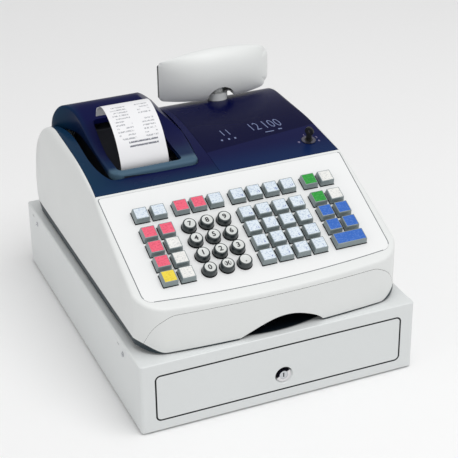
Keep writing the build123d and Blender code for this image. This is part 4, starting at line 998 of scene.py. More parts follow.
def round_outline(pieces: list[bpy.types.Object], radii: tuple[float, float]) -> None:
    """Round the corners that a panel shows from the front, by bending its skin in to an arc there.

    Args:
        pieces: The panel, facing along Y, and whatever sits in it and bends along.
        radii: The radius of the corners at the low and at the high end of X, in metres.
    """
    cuts = (0.0, 0.3, 0.55, 0.75, 0.9)
    tip_share = 0.2
    weld = 0.00005
    corners = [vertex.co.copy() for vertex in pieces[0].data.vertices]
    left, right = min(place.x for place in corners), max(place.x for place in corners)
    for piece in pieces:
        for end, side, radius in ((left, -1, radii[0]), (right, 1, radii[1])):
            tips = [place.z for place in corners if abs(end - place.x) < radius * tip_share]
            low, high = min(tips), max(tips)
            pick(piece)
            bpy.ops.object.mode_set(mode="EDIT")
            for share in cuts:
                inset = radius * (1 - share)
                for place, normal in (((end - side * inset, 0, 0), (1, 0, 0)), ((0, 0, low + inset), (0, 0, 1)),
                                      ((0, 0, high - inset), (0, 0, 1))):
                    select_near(piece, end, radius)
                    bpy.ops.mesh.bisect(plane_co=place, plane_no=normal)
            bpy.ops.mesh.select_all(action="SELECT")
            bpy.ops.mesh.remove_doubles(threshold=weld)
            bpy.ops.object.mode_set(mode="OBJECT")
            for vertex in piece.data.vertices:
                out = radius - abs(end - vertex.co.x)
                over = max(low + radius - vertex.co.z, vertex.co.z - high + radius)
                if out > 0 and over > 0:
                    pull = 1 - min(1.0, max(out, over) / math.hypot(out, over))
                    vertex.co.x -= side * out * pull
                    vertex.co.z += math.copysign(over * pull, (low + high) / 2 - vertex.co.z)


def select_near(piece: bpy.types.Object, end: float, reach: float) -> None:
    """In edit mode, select the faces that come within about a reach of one end along X.

    Args:
        piece: The piece in hand.
        end: The end, along X.
        reach: How far from it counts.
    """
    slack = 1.02
    bpy.ops.object.mode_set(mode="OBJECT")
    vertices = piece.data.vertices
    for face in piece.data.polygons:
        face.select = any(abs(vertices[index].co.x - end) <= reach * slack for index in face.vertices)
    bpy.ops.object.mode_set(mode="EDIT")


def set_finish(piece: bpy.types.Object, *materials: bpy.types.Material) -> None:
    """Give a piece its material slots.

    Args:
        piece: The piece.
        *materials: One finish for each slot.
    """
    piece.data.materials.clear()
    for material in materials:
        piece.data.materials.append(material)


def join(pieces: list[bpy.types.Object], name: str) -> bpy.types.Object:
    """Make several pieces one.

    Args:
        pieces: The pieces, each with its own mesh.
        name: The new piece's name.

    Returns:
        The joined piece.
    """
    deselect_all()
    for piece in pieces:
        piece.select_set(True)
    bpy.context.view_layer.objects.active = pieces[0]
    if len(pieces) > 1:
        bpy.ops.object.join()
    pieces[0].name = name
    pieces[0].data.name = name
    return pieces[0]


def copy_of(piece: bpy.types.Object, name: str, place: Matrix) -> bpy.types.Object:
    """A copy with its own mesh, moved to its place.

    Args:
        piece: What is copied.
        name: The copy's name.
        place: Where the copy goes, from the master's own origin.

    Returns:
        The copy.
    """
    other = piece.copy()
    other.data = piece.data.copy()
    other.name = name
    bpy.context.scene.collection.objects.link(other)
    other.data.transform(place)
    return other


def lettering(body: str, size: float, name: str, weight: float = 0.0) -> bpy.types.Object:
    """Plain generic lettering as a thin flat mesh around its own origin, facing +Z.

    Args:
        body: What it says.
        size: The letters' height, in metres.
        name: The piece's name.
        weight: How far the strokes are thickened each way, in metres.

    Returns:
        The mesh, at the origin.
    """
    deselect_all()
    bpy.ops.object.text_add(location=(0, 0, 0))
    text = bpy.context.object
    text.data.body = body
    text.data.size = size
    text.data.align_x = "CENTER"
    text.data.align_y = "CENTER"
    text.data.resolution_u = 2
    text.data.offset = weight
    text.name = name
    bpy.ops.object.convert(target="MESH")
    return bpy.context.object


class SubAssembly:
    """What every sub-assembly of the register shares."""

    def report(self, piece: bpy.types.Object, words: str) -> None:
        """Write one line about a finished piece."""
        log.info("%s: %s, %d faces", piece.name, words, len(piece.data.polygons))

    def smoothed(self, node: str, finish: bpy.types.Material, angle: float = 30.0) -> bpy.types.Object:
        """A welded, smooth-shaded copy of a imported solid, which it then stands for.

        Args:
            node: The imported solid.
            finish: Its finish.
            angle: Edges sharper than this stay sharp, in degrees.

        Returns:
            The copy, riding on the solid's body.
        """
        weld = 0.00001
        solid = frame["nodes"][node]
        piece = solid.copy()
        piece.data = solid.data.copy()
        piece.name = node + "_skin"
        piece.parent = None
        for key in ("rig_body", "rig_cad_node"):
            if key in piece:
                del piece[key]
        bpy.context.scene.collection.objects.link(piece)
        pick(piece)
        if piece.data.has_custom_normals:
            bpy.ops.mesh.customdata_custom_splitnormals_clear()
        bpy.ops.object.mode_set(mode="EDIT")
        bpy.ops.mesh.select_all(action="SELECT")
        bpy.ops.mesh.remove_doubles(threshold=weld)
        bpy.ops.object.mode_set(mode="OBJECT")
        set_finish(piece, finish)
        smooth(piece, angle)
        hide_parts(node)
        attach(piece, solid["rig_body"])
        return piece

    def wrap(self, words: str, finish: bpy.types.Material, *nodes: str, angle: float = 30.0) -> None:
        """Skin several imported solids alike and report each.

        Args:
            words: What they are, for the report.
            finish: Their finish.
            *nodes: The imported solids.
            angle: Edges sharper than this stay sharp, in degrees.
        """
        for node in nodes:
            self.report(self.smoothed(node, finish, angle), words)


# ---------------------------------------------------------------- finishes of this register
CASE_WHITE = srgb(228, 230, 229)
CABINET_WHITE = srgb(222, 225, 225)
NAVY = srgb(16, 20, 68)
NAVY_FIELD = srgb(0, 2, 50)
TEAL_HIGHLIGHT = srgb(14, 52, 76)
SLATE_HIGHLIGHT = srgb(78, 104, 122)
CAST_SHADE_BLACK = srgb(14, 24, 32)
ACROSS, BACKWARD = 0, 1


class Finishes:
    """Every finish of the register, built once."""

    def __init__(self) -> None:
        """Build them all."""
        self.case = Moulding("case_plastic", CASE_WHITE).material()
        # The case's plastic with painted shade where its lower edge tucks under; the upper case wears it too.
        self.lower_case = TuckedCase("lower_case_plastic", CASE_WHITE).material()
        # Both coats carry painted shade under the register's front; the front's also round the drawer and in the
        # lock's dimple.
        self.cabinet_top = PowderCoat("cabinet_top_coat", CABINET_WHITE, pad_colour=CAST_SHADE_BLACK).material()
        self.cabinet_front = PowderCoat("cabinet_front_coat", CABINET_WHITE, pad_colour=CAST_SHADE_BLACK,
                                        gap_colour=srgb(22, 26, 30)).material()
        self.overlay = Moulding("keyboard_film", srgb(236, 237, 237), roughness=0.35, variation=0.03,
                                grain_scale=900.0).material()
        # Painted shade along the keyboard panel's edge and side.
        self.outline = Moulding("panel_edge_shade", srgb(104, 110, 114), roughness=0.4).material()
        # The teal and slate stretches on the covers are painted highlights.
        self.cover = TintedCover("tinted_navy", NAVY, bands=(
            Band(ACROSS, -0.085, -0.15, TEAL_HIGHLIGHT),
            Band(BACKWARD, -0.018, -0.044, srgb(18, 46, 78)))).material()
        self.window = TintedCover("tinted_window", NAVY, NAVY_FIELD, bands=(
            Band(BACKWARD, 0.0, -0.044, srgb(18, 44, 84), 0.7),)).material()
        self.hump = TintedCover("tinted_hump", NAVY, roughness=0.3, bands=(
            Band(ACROSS, -0.112, -0.136, TEAL_HIGHLIGHT),
            Band(BACKWARD, 0.03, 0.006, srgb(22, 48, 78), 0.6),
            Band(BACKWARD, 0.0, -0.012, SLATE_HIGHLIGHT, 0.85))).material()
        self.display_pane = TintedCover("dark_pane", srgb(10, 14, 34), roughness=0.12).material()
        self.black = Moulding("black_plastic", srgb(22, 23, 27), roughness=0.5).material()
        # Near-black for the printer's insides and tear bar; it also paints the shade behind the apron's wave.
        self.well = Moulding("well_black", srgb(8, 12, 26), roughness=0.85).material()
        # Painted shade in the gap between the printer's bezel and its cover.
        self.dark_navy = Moulding("shaded_navy", srgb(8, 16, 40), roughness=0.6).material()
        # Painted shade in the narrow gaps between the case halves and round the drawer's front.
        self.gap = Moulding("painted_gap_shade", srgb(14, 20, 26), roughness=0.9).material()
        self.till = Moulding("till_plastic", srgb(58, 60, 64), roughness=0.5).material()
        self.nylon = Moulding("white_nylon", srgb(225, 224, 216), roughness=0.45).material()
        self.steel = Metal("zinc_steel", srgb(196, 198, 202), 0.38).material()
        self.iron = Metal("laminated_iron", srgb(86, 84, 82), 0.5).material()
        self.chrome = Metal("chrome", srgb(206, 208, 212), 0.16, lines=False).material()
        self.spring = Metal("spring_wire", srgb(170, 172, 178), 0.25, lines=False).material()
        self.switch_ring = Metal("switch_ring", srgb(112, 110, 124), 0.3, lines=False).material()
        self.lock_face = Metal("lock_face", srgb(226, 224, 226), 0.2, lines=False,
                               shaded_lock=PowderCoat.lock).material()
        self.rubber = Rubber("black_rubber").material()
        self.board = CircuitBoard("circuit_board").material()
        self.paper = TicketPaper("ticket_paper").material()
        self.roll_paper = TicketPaper("roll_paper", printed=False).material()
        # The roll and the strip from it to the platen are greyed and darkened with painted shade.
        self.well_roll = TicketPaper("shaded_roll_paper", False, srgb(104, 104, 104)).material()
        self.shaded_strip = TicketPaper("shaded_strip", False, srgb(34, 36, 44)).material()
        self.key_skirt = Moulding("key_skirt", srgb(134, 146, 148), roughness=0.3, coat=0.2).material()
        self.key_number = Moulding("number_key", srgb(38, 48, 50), roughness=0.34, coat=0.25).material()
        self.number_dish = Moulding("number_dish", srgb(212, 215, 213), roughness=0.4, coat=0.15).material()
        self.key_print = Moulding("key_print", srgb(30, 32, 36), roughness=0.5).material()
        self.key_small_print = Moulding("key_small_print", srgb(70, 92, 170), roughness=0.5).material()
        self.glow = GlowingSegments("glowing_segments").material()
        self.legend = Moulding("pale_legend", srgb(126, 118, 150), roughness=0.5).material()


class InsertColour(Enum):
    """The colours that key inserts come in."""

    WHITE = "white"
    ICE = "ice"
    PINK = "pink"
    YELLOW = "yellow"
    GREEN = "green"
    BLUE = "blue"


INSERTS: dict[InsertColour, tuple[Colour, Colour, float]] = {
    InsertColour.WHITE: (srgb(236, 236, 232), srgb(170, 174, 180), 0.4),
    InsertColour.ICE: (srgb(222, 232, 240), srgb(150, 170, 200), 0.55),
    InsertColour.PINK: (srgb(240, 96, 122), srgb(200, 60, 90), 0.5),
    InsertColour.YELLOW: (srgb(238, 214, 60), srgb(200, 170, 30), 0.4),
    InsertColour.GREEN: (srgb(22, 148, 44), srgb(90, 190, 100), 0.3),
    InsertColour.BLUE: (srgb(34, 98, 190), srgb(110, 150, 220), 0.25),
}


# ---------------------------------------------------------------- drawer cabinet
@dataclass
class DrawerCabinet(SubAssembly):
    """The steel cabinet with its drawer, lock, till insert, slides and latch."""

    finishes: Finishes
    gap: float = 0.0016

    def build(self) -> None:
        """Dress the cabinet and all that is in it."""
        look = self.finishes
        shell = self.smoothed("cabinet_shell", look.cabinet_top, 25)
        surround = self.smoothed("cabinet_front_frame", look.cabinet_front, 25)
        front = self.smoothed("drawer_front", look.cabinet_front, 25)
        darken_gap(surround, front, look.gap, self.gap)
        for piece in (shell, surround, front):
            self.report(piece, "powder coated")
        self.wrap("zinc plated sheet", look.steel, "drawer_tray", "cabinet_rails", "cabinet_base",
                  "latch_solenoid", "latch_hook")
        self.wrap("nylon", look.nylon, "cabinet_rollers", "tray_rollers")
        self.wrap("lock face", look.lock_face, "lock_barrel")
        self.wrap("plated", look.chrome, "lock_plug", "screws")
        self.wrap("spring wire", look.spring, "ejector_spring", angle=60)
        self.wrap("rubber", look.rubber, "rubber_feet")
        self.wrap("till moulding", look.till, "till_insert", "bill_clips", angle=35)


# ---------------------------------------------------------------- register body
@dataclass
class RegisterBody(SubAssembly):
    """The white case, its plinth and what it holds inside."""

    finishes: Finishes
    notch_half: float = 0.062
    notch_top: float = 0.112
    notch_back: float = -0.18
    apron_back: float = -0.1995
    edge_tilt: float = 0.3

    def in_notch(self, centre: Vector, normal: Vector) -> bool:
        """Whether a face is the wall behind the apron's wave or the wave's own edge, where shade is painted."""
        inside = abs(centre.x) < self.notch_half and centre.z < self.notch_top and centre.y < self.notch_back
        return inside and (centre.y > self.apron_back or abs(normal.y) < self.edge_tilt)

    def build(self) -> None:
        """Dress the case and its inner parts."""
        look = self.finishes
        upper = self.smoothed("upper_case", look.lower_case, 35)
        lower = self.smoothed("lower_case", look.lower_case, 35)
        darken_gap(upper, lower, look.gap)
        # The wall behind the apron's wave and the wave's edge get painted shade.
        darken_faces(lower, look.well, self.in_notch)
        for piece in (upper, lower):
            self.report(piece, "white moulding")
        self.wrap("black moulding", look.black, "base_chassis", "power_inlet")
        self.wrap("transformer", look.iron, "transformer")
        self.wrap("circuit board", look.board, "main_board", "keyboard_board", "customer_board")
        self.wrap("key frame", look.black, "key_frame")


# ---------------------------------------------------------------- keyboard
@dataclass
class Keyboard(SubAssembly):
    """The printed panel and its keys, laid out in millimetres on the sloping deck."""

    finishes: Finishes
    border: tuple[float, float] = (-44.5, 208.25)
    slope: float = 23.3
    pitch: tuple[float, float] = (20.73, 20.99)
    first: tuple[float, float] = (-112.0, 40.2)
    gaps: tuple[float, float, float] = (5.7, 6.0, 6.6)
    top_gap: float = 6.4
    foot: float = 17.2
    taper: float = 6.5
    lift: float = 0.8
    height: float = 7.4
    top_share: float = 0.9
    edge_round: float = 0.6
    insert_steps: tuple[tuple[float, float], ...] = ((0.1, 0.0), (0.15, 0.1))
    small_size: float = 4.2
    small_place: tuple[float, float] = (3.4, 3.6)
    small_depth: float = 0.08
    round_radius: float = 8.5
    round_taper: float = 7.0
    rim_round: float = 1.1
    dish_steps: tuple[tuple[float, float], ...] = ((0.4, 0.0), (1.6, 0.34), (1.6, 0.24), (1.6, 0.14))
    digit_size: float = 9.2
    digit_weight: float = 0.22
    digit_depth: float = 0.45
    stem_radius: float = 2.4
    stem_low: float = -9.2
    stem_top: float = 1.2
    line_width: float = 0.7
    line_beyond: tuple[float, float] = (145.5, 153.5)
    facing_up: float = 0.98

    def column(self, cluster: int, index: int) -> float:
        """The middle of a key column, in millimetres across the deck."""
        before = (0, 2, 5, 9)[cluster]
        return self.first[0] + (before + index) * self.pitch[0] + sum(self.gaps[:cluster])

    def row(self, index: int) -> float:
        """The middle of a key row, in millimetres down the deck."""
        return self.first[1] + index * self.pitch[1] + (self.top_gap if index else 0.0)

    def on_deck(self, x: float, down: float, height: float = 0.0) -> Matrix:
        """The place of something on the deck.

        Args:
            x: Millimetres across.
            down: Millimetres down the slope from its upper border.
            height: Millimetres above it.

        Returns:
            The matrix from a master's own origin, in metres.
        """
        tilt = Matrix.Rotation(math.radians(self.slope), 4, "X")
        origin = Matrix.Translation((0, self.border[0] * MM, self.border[1] * MM))
        return origin @ tilt @ Matrix.Translation((x * MM, -down * MM, height * MM))

    def tapered(self, key: bpy.types.Object, shrink: tuple[float, float]) -> None:
        """Draw the top of a key's block in.

        Args:
            key: The block.
            shrink: How much of its width and depth is left at the top.
        """
        select_faces(key, lambda centre, normal: normal.z > FACING)
        bpy.ops.transform.resize(value=(*shrink, 1.0))
        bpy.ops.object.mode_set(mode="OBJECT")

    def sink_top(self, key: bpy.types.Object, steps: tuple[tuple[float, float], ...], dressed: int) -> None:
        """Step a key's flat top inwards and down, and dress what lies inside one of the steps.

        Args:
            key: The key, whose second slot the top takes.
            steps: For each step, how far it goes in and how far down, in millimetres.
            dressed: After how many steps the finish changes.
        """
        near_top = (self.lift + self.height * self.top_share) * MM
        select_faces(key, lambda centre, normal: normal.z > FLAT and centre.z > near_top)
        for number, (inward, down) in enumerate(steps, 1):
            bpy.ops.mesh.inset(thickness=inward * MM, depth=-down * MM)
            if number == dressed:
                key.active_material_index = 1
                bpy.ops.object.material_slot_assign()
        bpy.ops.object.mode_set(mode="OBJECT")

    def square_master(self, columns: int, insert: bpy.types.Material) -> bpy.types.Object:
        """A clear-topped key: grey skirt, rounded edges, a sunk coloured insert and its stems.

        Args:
            columns: How many key pitches wide it is.
            insert: The insert's finish.

        Returns:
            The key around its own origin, on the deck's plane.
        """
        width = (self.foot + (columns - 1) * self.pitch[0]) * MM
        depth = self.foot * MM
        low, tall = self.lift * MM, self.height * MM
        deselect_all()
        bpy.ops.mesh.primitive_cube_add(size=1.0, location=(0, 0, low + tall / 2), scale=(width, depth, tall))
        key = fresh(bpy.context.object)
        drawn_in = 2 * tall * math.tan(math.radians(self.taper))
        self.tapered(key, (1 - drawn_in / width, 1 - drawn_in / depth))
        set_finish(key, self.finishes.key_skirt, insert)
        soften(key, self.edge_round * MM, segments=3, angle=40)
        self.sink_top(key, self.insert_steps, dressed=2)
        stems = [self.stem((index - (columns - 1) / 2) * self.pitch[0]) for index in range(columns)]
        key = join([key, *stems], "square_key_%d_%s" % (columns, insert.name))
        smooth(key, 32)
        return key

    def stem(self, x: float) -> bpy.types.Object:
        """A key's guiding stem, at its place across in millimetres.

        Args:
            x: How far across the key it stands, in millimetres.

        Returns:
            The stem.
        """
        deselect_all()
        low, high = self.stem_low * MM, self.stem_top * MM
        bpy.ops.mesh.primitive_cylinder_add(vertices=20, radius=self.stem_radius * MM, depth=high - low,
                                            location=(x * MM, 0, (low + high) / 2))
        stem = fresh(bpy.context.object)
        set_finish(stem, self.finishes.key_skirt)
        return stem

    def round_master(self) -> bpy.types.Object:
        """A round number key: a tapered drum with a rounded rim and a dished, paler top.

        Returns:
            The key around its own origin, on the deck's plane.
        """
        deselect_all()
        low, tall, radius = self.lift * MM, self.height * MM, self.round_radius * MM
        bpy.ops.mesh.primitive_cylinder_add(vertices=40, radius=radius, depth=tall, location=(0, 0, low + tall / 2))
        key = fresh(bpy.context.object)
        shrink = 1 - tall * math.tan(math.radians(self.round_taper)) / radius
        self.tapered(key, (shrink, shrink))
        set_finish(key, self.finishes.key_number, self.finishes.number_dish)
        soften(key, self.rim_round * MM, segments=3, angle=50)
        self.sink_top(key, self.dish_steps, dressed=1)
        key = join([key, self.stem(0.0)], "round_key")
        smooth(key, 40)
        return key

    def digits(self, body: str, x: float, down: float) -> bpy.types.Object:
        """The dark number on a round key's dish.

        Args:
            body: The number.
            x: The key's middle across.
            down: The key's middle down the deck.

        Returns:
            The number, at its place.
        """
        text = lettering(body, self.digit_size * MM, "digits", self.digit_weight * MM)
        set_finish(text, self.finishes.key_print)
        text.data.transform(self.on_deck(x, down, self.lift + self.height - self.digit_depth))
        return text

    def small_number(self, body: str, x: float, down: float) -> bpy.types.Object:
        """A small blue number in the corner of a department key's insert.

        Args:
            body: The number.
            x: The key's middle across.
            down: The key's middle down the deck.

        Returns:
            The number, at its place.
        """
        text = lettering(body, self.small_size * MM, "small_number")
        set_finish(text, self.finishes.key_small_print)
        text.data.transform(self.on_deck(x + self.small_place[0], down + self.small_place[1],
                                         self.lift + self.height - self.small_depth))
        return text

    def plan(self) -> dict[str, list[tuple[float, float, int, InsertColour | str]]]:
        """Where each key goes.

        Returns:
            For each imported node, its keys as (across, down, columns wide, insert colour or number).
        """
        white, ice, pink, yellow, green, blue = InsertColour
        left = ((ice, ice), (pink, pink), (pink, white), (pink, white), (yellow, white))
        right = ((green, white), (green, white), (blue, blue), (blue, blue))
        numbers = (("7", "8", "9"), ("4", "5", "6"), ("1", "2", "3"), ("0", "00", "."))
        nodes: dict[str, list[tuple[float, float, int, InsertColour | str]]] = {
            "function_keys": [], "department_keys": [], "payment_keys": [], "total_key": [],
        }
        for row in range(5):
            down = self.row(row)
            for index in range(2):
                nodes["function_keys"].append((self.column(0, index), down, 1, left[row][index]))
                if row < 4:
                    nodes["payment_keys"].append((self.column(3, index), down, 1, right[row][index]))
            for index in range(4):
                nodes["department_keys"].append((self.column(2, index), down, 1, ice))
            for index in range(3):
                if row == 0:
                    nodes["function_keys"].append((self.column(1, index), down, 1, (pink, pink, ice)[index]))
                else:
                    body = numbers[row - 1][index]
                    node = "key_point" if body == "." else "key_" + body
                    nodes[node] = [(self.column(1, index), down, 1, body)]
        middle = (self.column(3, 0) + self.column(3, 1)) / 2
        nodes["total_key"].append((middle, self.row(4), 2, blue))
        return nodes

    def outline(self, panel: bpy.types.Object) -> None:
        """Paint a thin line of shade round the panel's own edge, but not round its holes.

        Args:
            panel: The panel's skin.
        """
        to_deck = self.on_deck(0, 0).inverted()
        up = self.on_deck(0, 0).to_3x3() @ Vector((0, 0, 1))
        select_faces(panel, lambda centre, normal: normal.dot(up) > self.facing_up)
        bpy.ops.mesh.inset(thickness=self.line_width * MM, depth=0.0)
        bpy.ops.object.mode_set(mode="OBJECT")
        inner = {tuple(face.center) for face in panel.data.polygons if face.select}

        def on_line(centre: Vector, normal: Vector) -> bool:
            """Whether a face is on the panel's side or on the stepped rim next to it.

            Args:
                centre: The face's middle.
                normal: Which way it looks.

            Returns:
                True for the line of painted shade.
            """
            place = to_deck @ centre / MM
            at_edge = abs(place.x) > self.line_beyond[0] or -place.y > self.line_beyond[1]
            return tuple(centre) not in inner and (normal.dot(up) < self.facing_up or at_edge)

        darken_faces(panel, self.finishes.outline, on_line)

    def build(self) -> None:
        """Model every key and dress the panel."""
        inserts = {kind: KeyInsert("insert_" + kind.value, *values).material() for kind, values in INSERTS.items()}
        masters: dict[tuple[int, str], bpy.types.Object] = {}
        round_key = self.round_master()
        for node, keys in self.plan().items():
            made = []
            for number, (x, down, columns, kind) in enumerate(keys):
                if isinstance(kind, str):
                    made.append(copy_of(round_key, node + "_cap", self.on_deck(x, down)))
                    made.append(self.digits(kind, x, down))
                    continue
                if (columns, kind.value) not in masters:
                    masters[(columns, kind.value)] = self.square_master(columns, inserts[kind])
                made.append(copy_of(masters[(columns, kind.value)], node + "_cap", self.on_deck(x, down)))
                if node == "department_keys":
                    made.append(self.small_number(str(len(keys) - number), x, down))
            piece = join(made, node + "_caps")
            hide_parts(node)
            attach(piece, node)
            self.report(piece, "%d keys" % len(keys))
        for master in [round_key, *masters.values()]:
            bpy.data.objects.remove(master)
        panel = self.smoothed("keyboard_overlay", self.finishes.overlay, 25)
        self.outline(panel)
        self.report(panel, "printed panel")


# ---------------------------------------------------------------- printer
@dataclass
class TicketPrinter(SubAssembly):
    """The printer's cover, bezel, mechanism and ticket."""

    finishes: Finishes
    ticket_width: float = 0.058
    print_foot: tuple[float, float] = (-0.0026, 0.216)
    print_top: tuple[float, float] = (0.06, 0.2672)
    print_side: tuple[float, float] = (-0.63, 0.77)
    print_tilt: float = 0.1
    inside_top: float = 0.232
    strip_from: float = 0.003
    foot_slack: float = 0.01

    def build(self) -> None:
        """Dress the printer and make its ticket."""
        look = self.finishes
        bezel = self.smoothed("printer_bezel", look.cover, 30)
        cover = self.smoothed("printer_cover", look.hump, 40)
        darken_gap(bezel, cover, look.dark_navy)
        self.report(bezel, "tinted bezel")
        self.report(cover, "hinged cover")
        self.wrap("black moulding", look.well, "printer_frame", "print_head")
        self.wrap("platen", look.rubber, "platen_roller")
        self.wrap("gear", look.nylon, "drive_gear")
        self.wrap("motor", look.steel, "feed_motor")
        self.wrap("tear bar", look.well, "tear_bar")
        self.wrap("roll", look.well_roll, "paper_roll")
        self.report(self.ticket(), "printed ticket")

    def ticket(self) -> bpy.types.Object:
        """The ticket, printed on the side that faces the operator as it curls out of the well.

        Returns:
            The ticket.
        """
        look = self.finishes
        piece = self.smoothed("receipt", look.roll_paper, 40)
        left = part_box("receipt")[0][0]
        foot = Vector((0, *self.print_foot))
        run = Vector((0, *self.print_top)) - foot
        layer = piece.data.uv_layers.active or piece.data.uv_layers.new(name="print")
        for face in piece.data.polygons:
            for loop in face.loop_indices:
                place = piece.data.vertices[piece.data.loops[loop].vertex_index].co
                flat = Vector((0, place.y, place.z)) - foot
                layer.data[loop].uv = ((place.x - left) / self.ticket_width, flat.dot(run) / run.length_squared)
        outer = Vector((0, *self.print_side))

        def is_strip(centre: Vector, normal: Vector) -> bool:
            """Whether a face is on the shaded strip between the roll and the platen."""
            return centre.z < self.inside_top and centre.y > self.strip_from

        def is_printed(centre: Vector, normal: Vector) -> bool:
            """Whether a face is on the printed side, above the print head."""
            on_side = normal.dot(outer) > self.print_tilt and centre.z > foot.z - self.foot_slack
            return on_side and (centre.z > self.inside_top or centre.y < self.strip_from)

        darken_faces(piece, look.shaded_strip, is_strip)
        darken_faces(piece, look.paper, is_printed)
        return piece


# ---------------------------------------------------------------- displays
@dataclass
class Displays(SubAssembly):
    """The operator's window with its digits, the mode switch and the customer's display.

    A group is its digits, place across, rise over the row, width and height; a bar is the same
    without digits, over the row of marks.
    """

    finishes: Finishes
    digit_row: float = 0.034
    mark_row: float = 0.0178
    groups: tuple[tuple[str, float, float, float, float], ...] = (
        ("12", 0.0772, 0.0, 0.0112, 0.0165), ("100", 0.1, 0.0005, 0.0205, 0.0175),
        ("11", 0.0379, -0.001, 0.0085, 0.0125))
    bars: tuple[tuple[float, float, float, float], ...] = (
        (0.0897, 0.0, 0.0115, 0.0016), (0.1041, 0.0016, 0.005, 0.0022),
        (0.0277, -0.0002, 0.0024, 0.0034), (0.0368, -0.0002, 0.0024, 0.0034),
        (0.0447, -0.0002, 0.0024, 0.0034))
    bar_corner: float = 0.3
    digit_size: float = 0.01
    digit_weight: float = -0.00012
    slant: float = -0.12
    switch: tuple[float, float, float] = (0.125, -0.016, 0.213)
    switch_tilt: float = 8.5
    legend_radius: float = 0.0125
    legend_size: float = 0.0052
    legend_weight: float = 0.0001
    legend_turns: tuple[float, ...] = (180, 92, 52, 16, -20)
    bow_radius: float = 0.0056
    bow_thick: float = 0.0026
    bow_ring: float = 0.0043
    bow_rise: float = 0.8
    blade: tuple[float, float, float] = (0.0022, 0.0066, 0.0085)
    blade_foot: float = 0.0011
    key_round: float = 0.0003
    key_turn: float = 38.0
    housing_corners: tuple[float, float] = (0.004, 0.013)

    def glyph(self, body: str, place: tuple[float, float], width: float, height: float) -> bpy.types.Object:
        """One group of slanted display digits, flat, at its place seen from above.

        Args:
            body: The digits.
            place: The middle of the group, in metres.
            width: The width of the group.
            height: The height of the digits.

        Returns:
            The digits.
        """
        text = lettering(body, self.digit_size, "digits", self.digit_weight)
        xs = [vertex.co.x for vertex in text.data.vertices]
        ys = [vertex.co.y for vertex in text.data.vertices]
        middle = Vector(((min(xs) + max(xs)) / 2, (min(ys) + max(ys)) / 2, 0))
        stretch = Matrix.Diagonal((width / (max(xs) - min(xs)), height / (max(ys) - min(ys)), 1, 1))
        lean = Matrix.Identity(4)
        lean[0][1] = self.slant
        text.data.transform(Matrix.Translation((*place, 0)) @ lean @ stretch @ Matrix.Translation(-middle))
        return text

    def bar(self, place: tuple[float, float], width: float, height: float) -> bpy.types.Object:
        """A small flat lit mark with its corners cut, at its place seen from above.

        Args:
            place: The middle of the mark, in metres.
            width: Its width.
            height: Its height.

        Returns:
            The mark.
        """
        deselect_all()
        bpy.ops.mesh.primitive_plane_add(size=1.0)
        mark = bpy.context.object
        mark.data.transform(Matrix.Translation((*place, 0)) @ Matrix.Diagonal((width, height, 1, 1)))
        select_faces(mark, lambda centre, normal: True)
        bpy.ops.mesh.bevel(offset=min(width, height) * self.bar_corner, segments=2, affect="VERTICES")
        bpy.ops.object.mode_set(mode="OBJECT")
        return mark

    def laid_on(self, window: bpy.types.Object, marks: list[bpy.types.Object], name: str,
                finish: bpy.types.Material) -> bpy.types.Object:
        """Join flat marks and drop them straight down onto the curved window.

        Args:
            window: What they lie on.
            marks: The marks, already at their places seen from above.
            name: The joined piece's name.
            finish: Its finish.

        Returns:
            The joined piece, just clear of the window.
        """
        above, lift = 0.6, 0.00008
        piece = join(marks, name)
        for vertex in piece.data.vertices:
            found, place, _, _ = window.ray_cast(Vector((vertex.co.x, vertex.co.y, above)), Vector((0, 0, -1)))
            if found:
                vertex.co.z = place.z + lift
        set_finish(piece, finish)
        return piece

    def readout(self, window: bpy.types.Object) -> bpy.types.Object:
        """The lit digits and the small marks under them, as they show in the window.

        Args:
            window: The window's skin.

        Returns:
            The lit piece.
        """
        marks = [self.glyph(body, (x, self.digit_row + rise), width, height)
                 for body, x, rise, width, height in self.groups]
        marks += [self.bar((x, self.mark_row + rise), width, height) for x, rise, width, height in self.bars]
        piece = self.laid_on(window, marks, "operator_readout", self.finishes.glow)
        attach(piece, "register")
        return piece

    def switch_legend(self, window: bpy.types.Object) -> bpy.types.Object:
        """Plain position numbers round the mode switch.

        Args:
            window: The window's skin.

        Returns:
            The numbers.
        """
        marks = []
        for number, turn in enumerate(self.legend_turns):
            angle = math.radians(turn)
            text = lettering(str(number), self.legend_size, "legend", self.legend_weight)
            x = self.switch[0] + self.legend_radius * math.cos(angle)
            y = self.switch[1] + self.legend_radius * math.sin(angle)
            text.data.transform(Matrix.Translation((x, y, 0)))
            marks.append(text)
        piece = self.laid_on(window, marks, "switch_legend", self.finishes.legend)
        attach(piece, "register")
        return piece

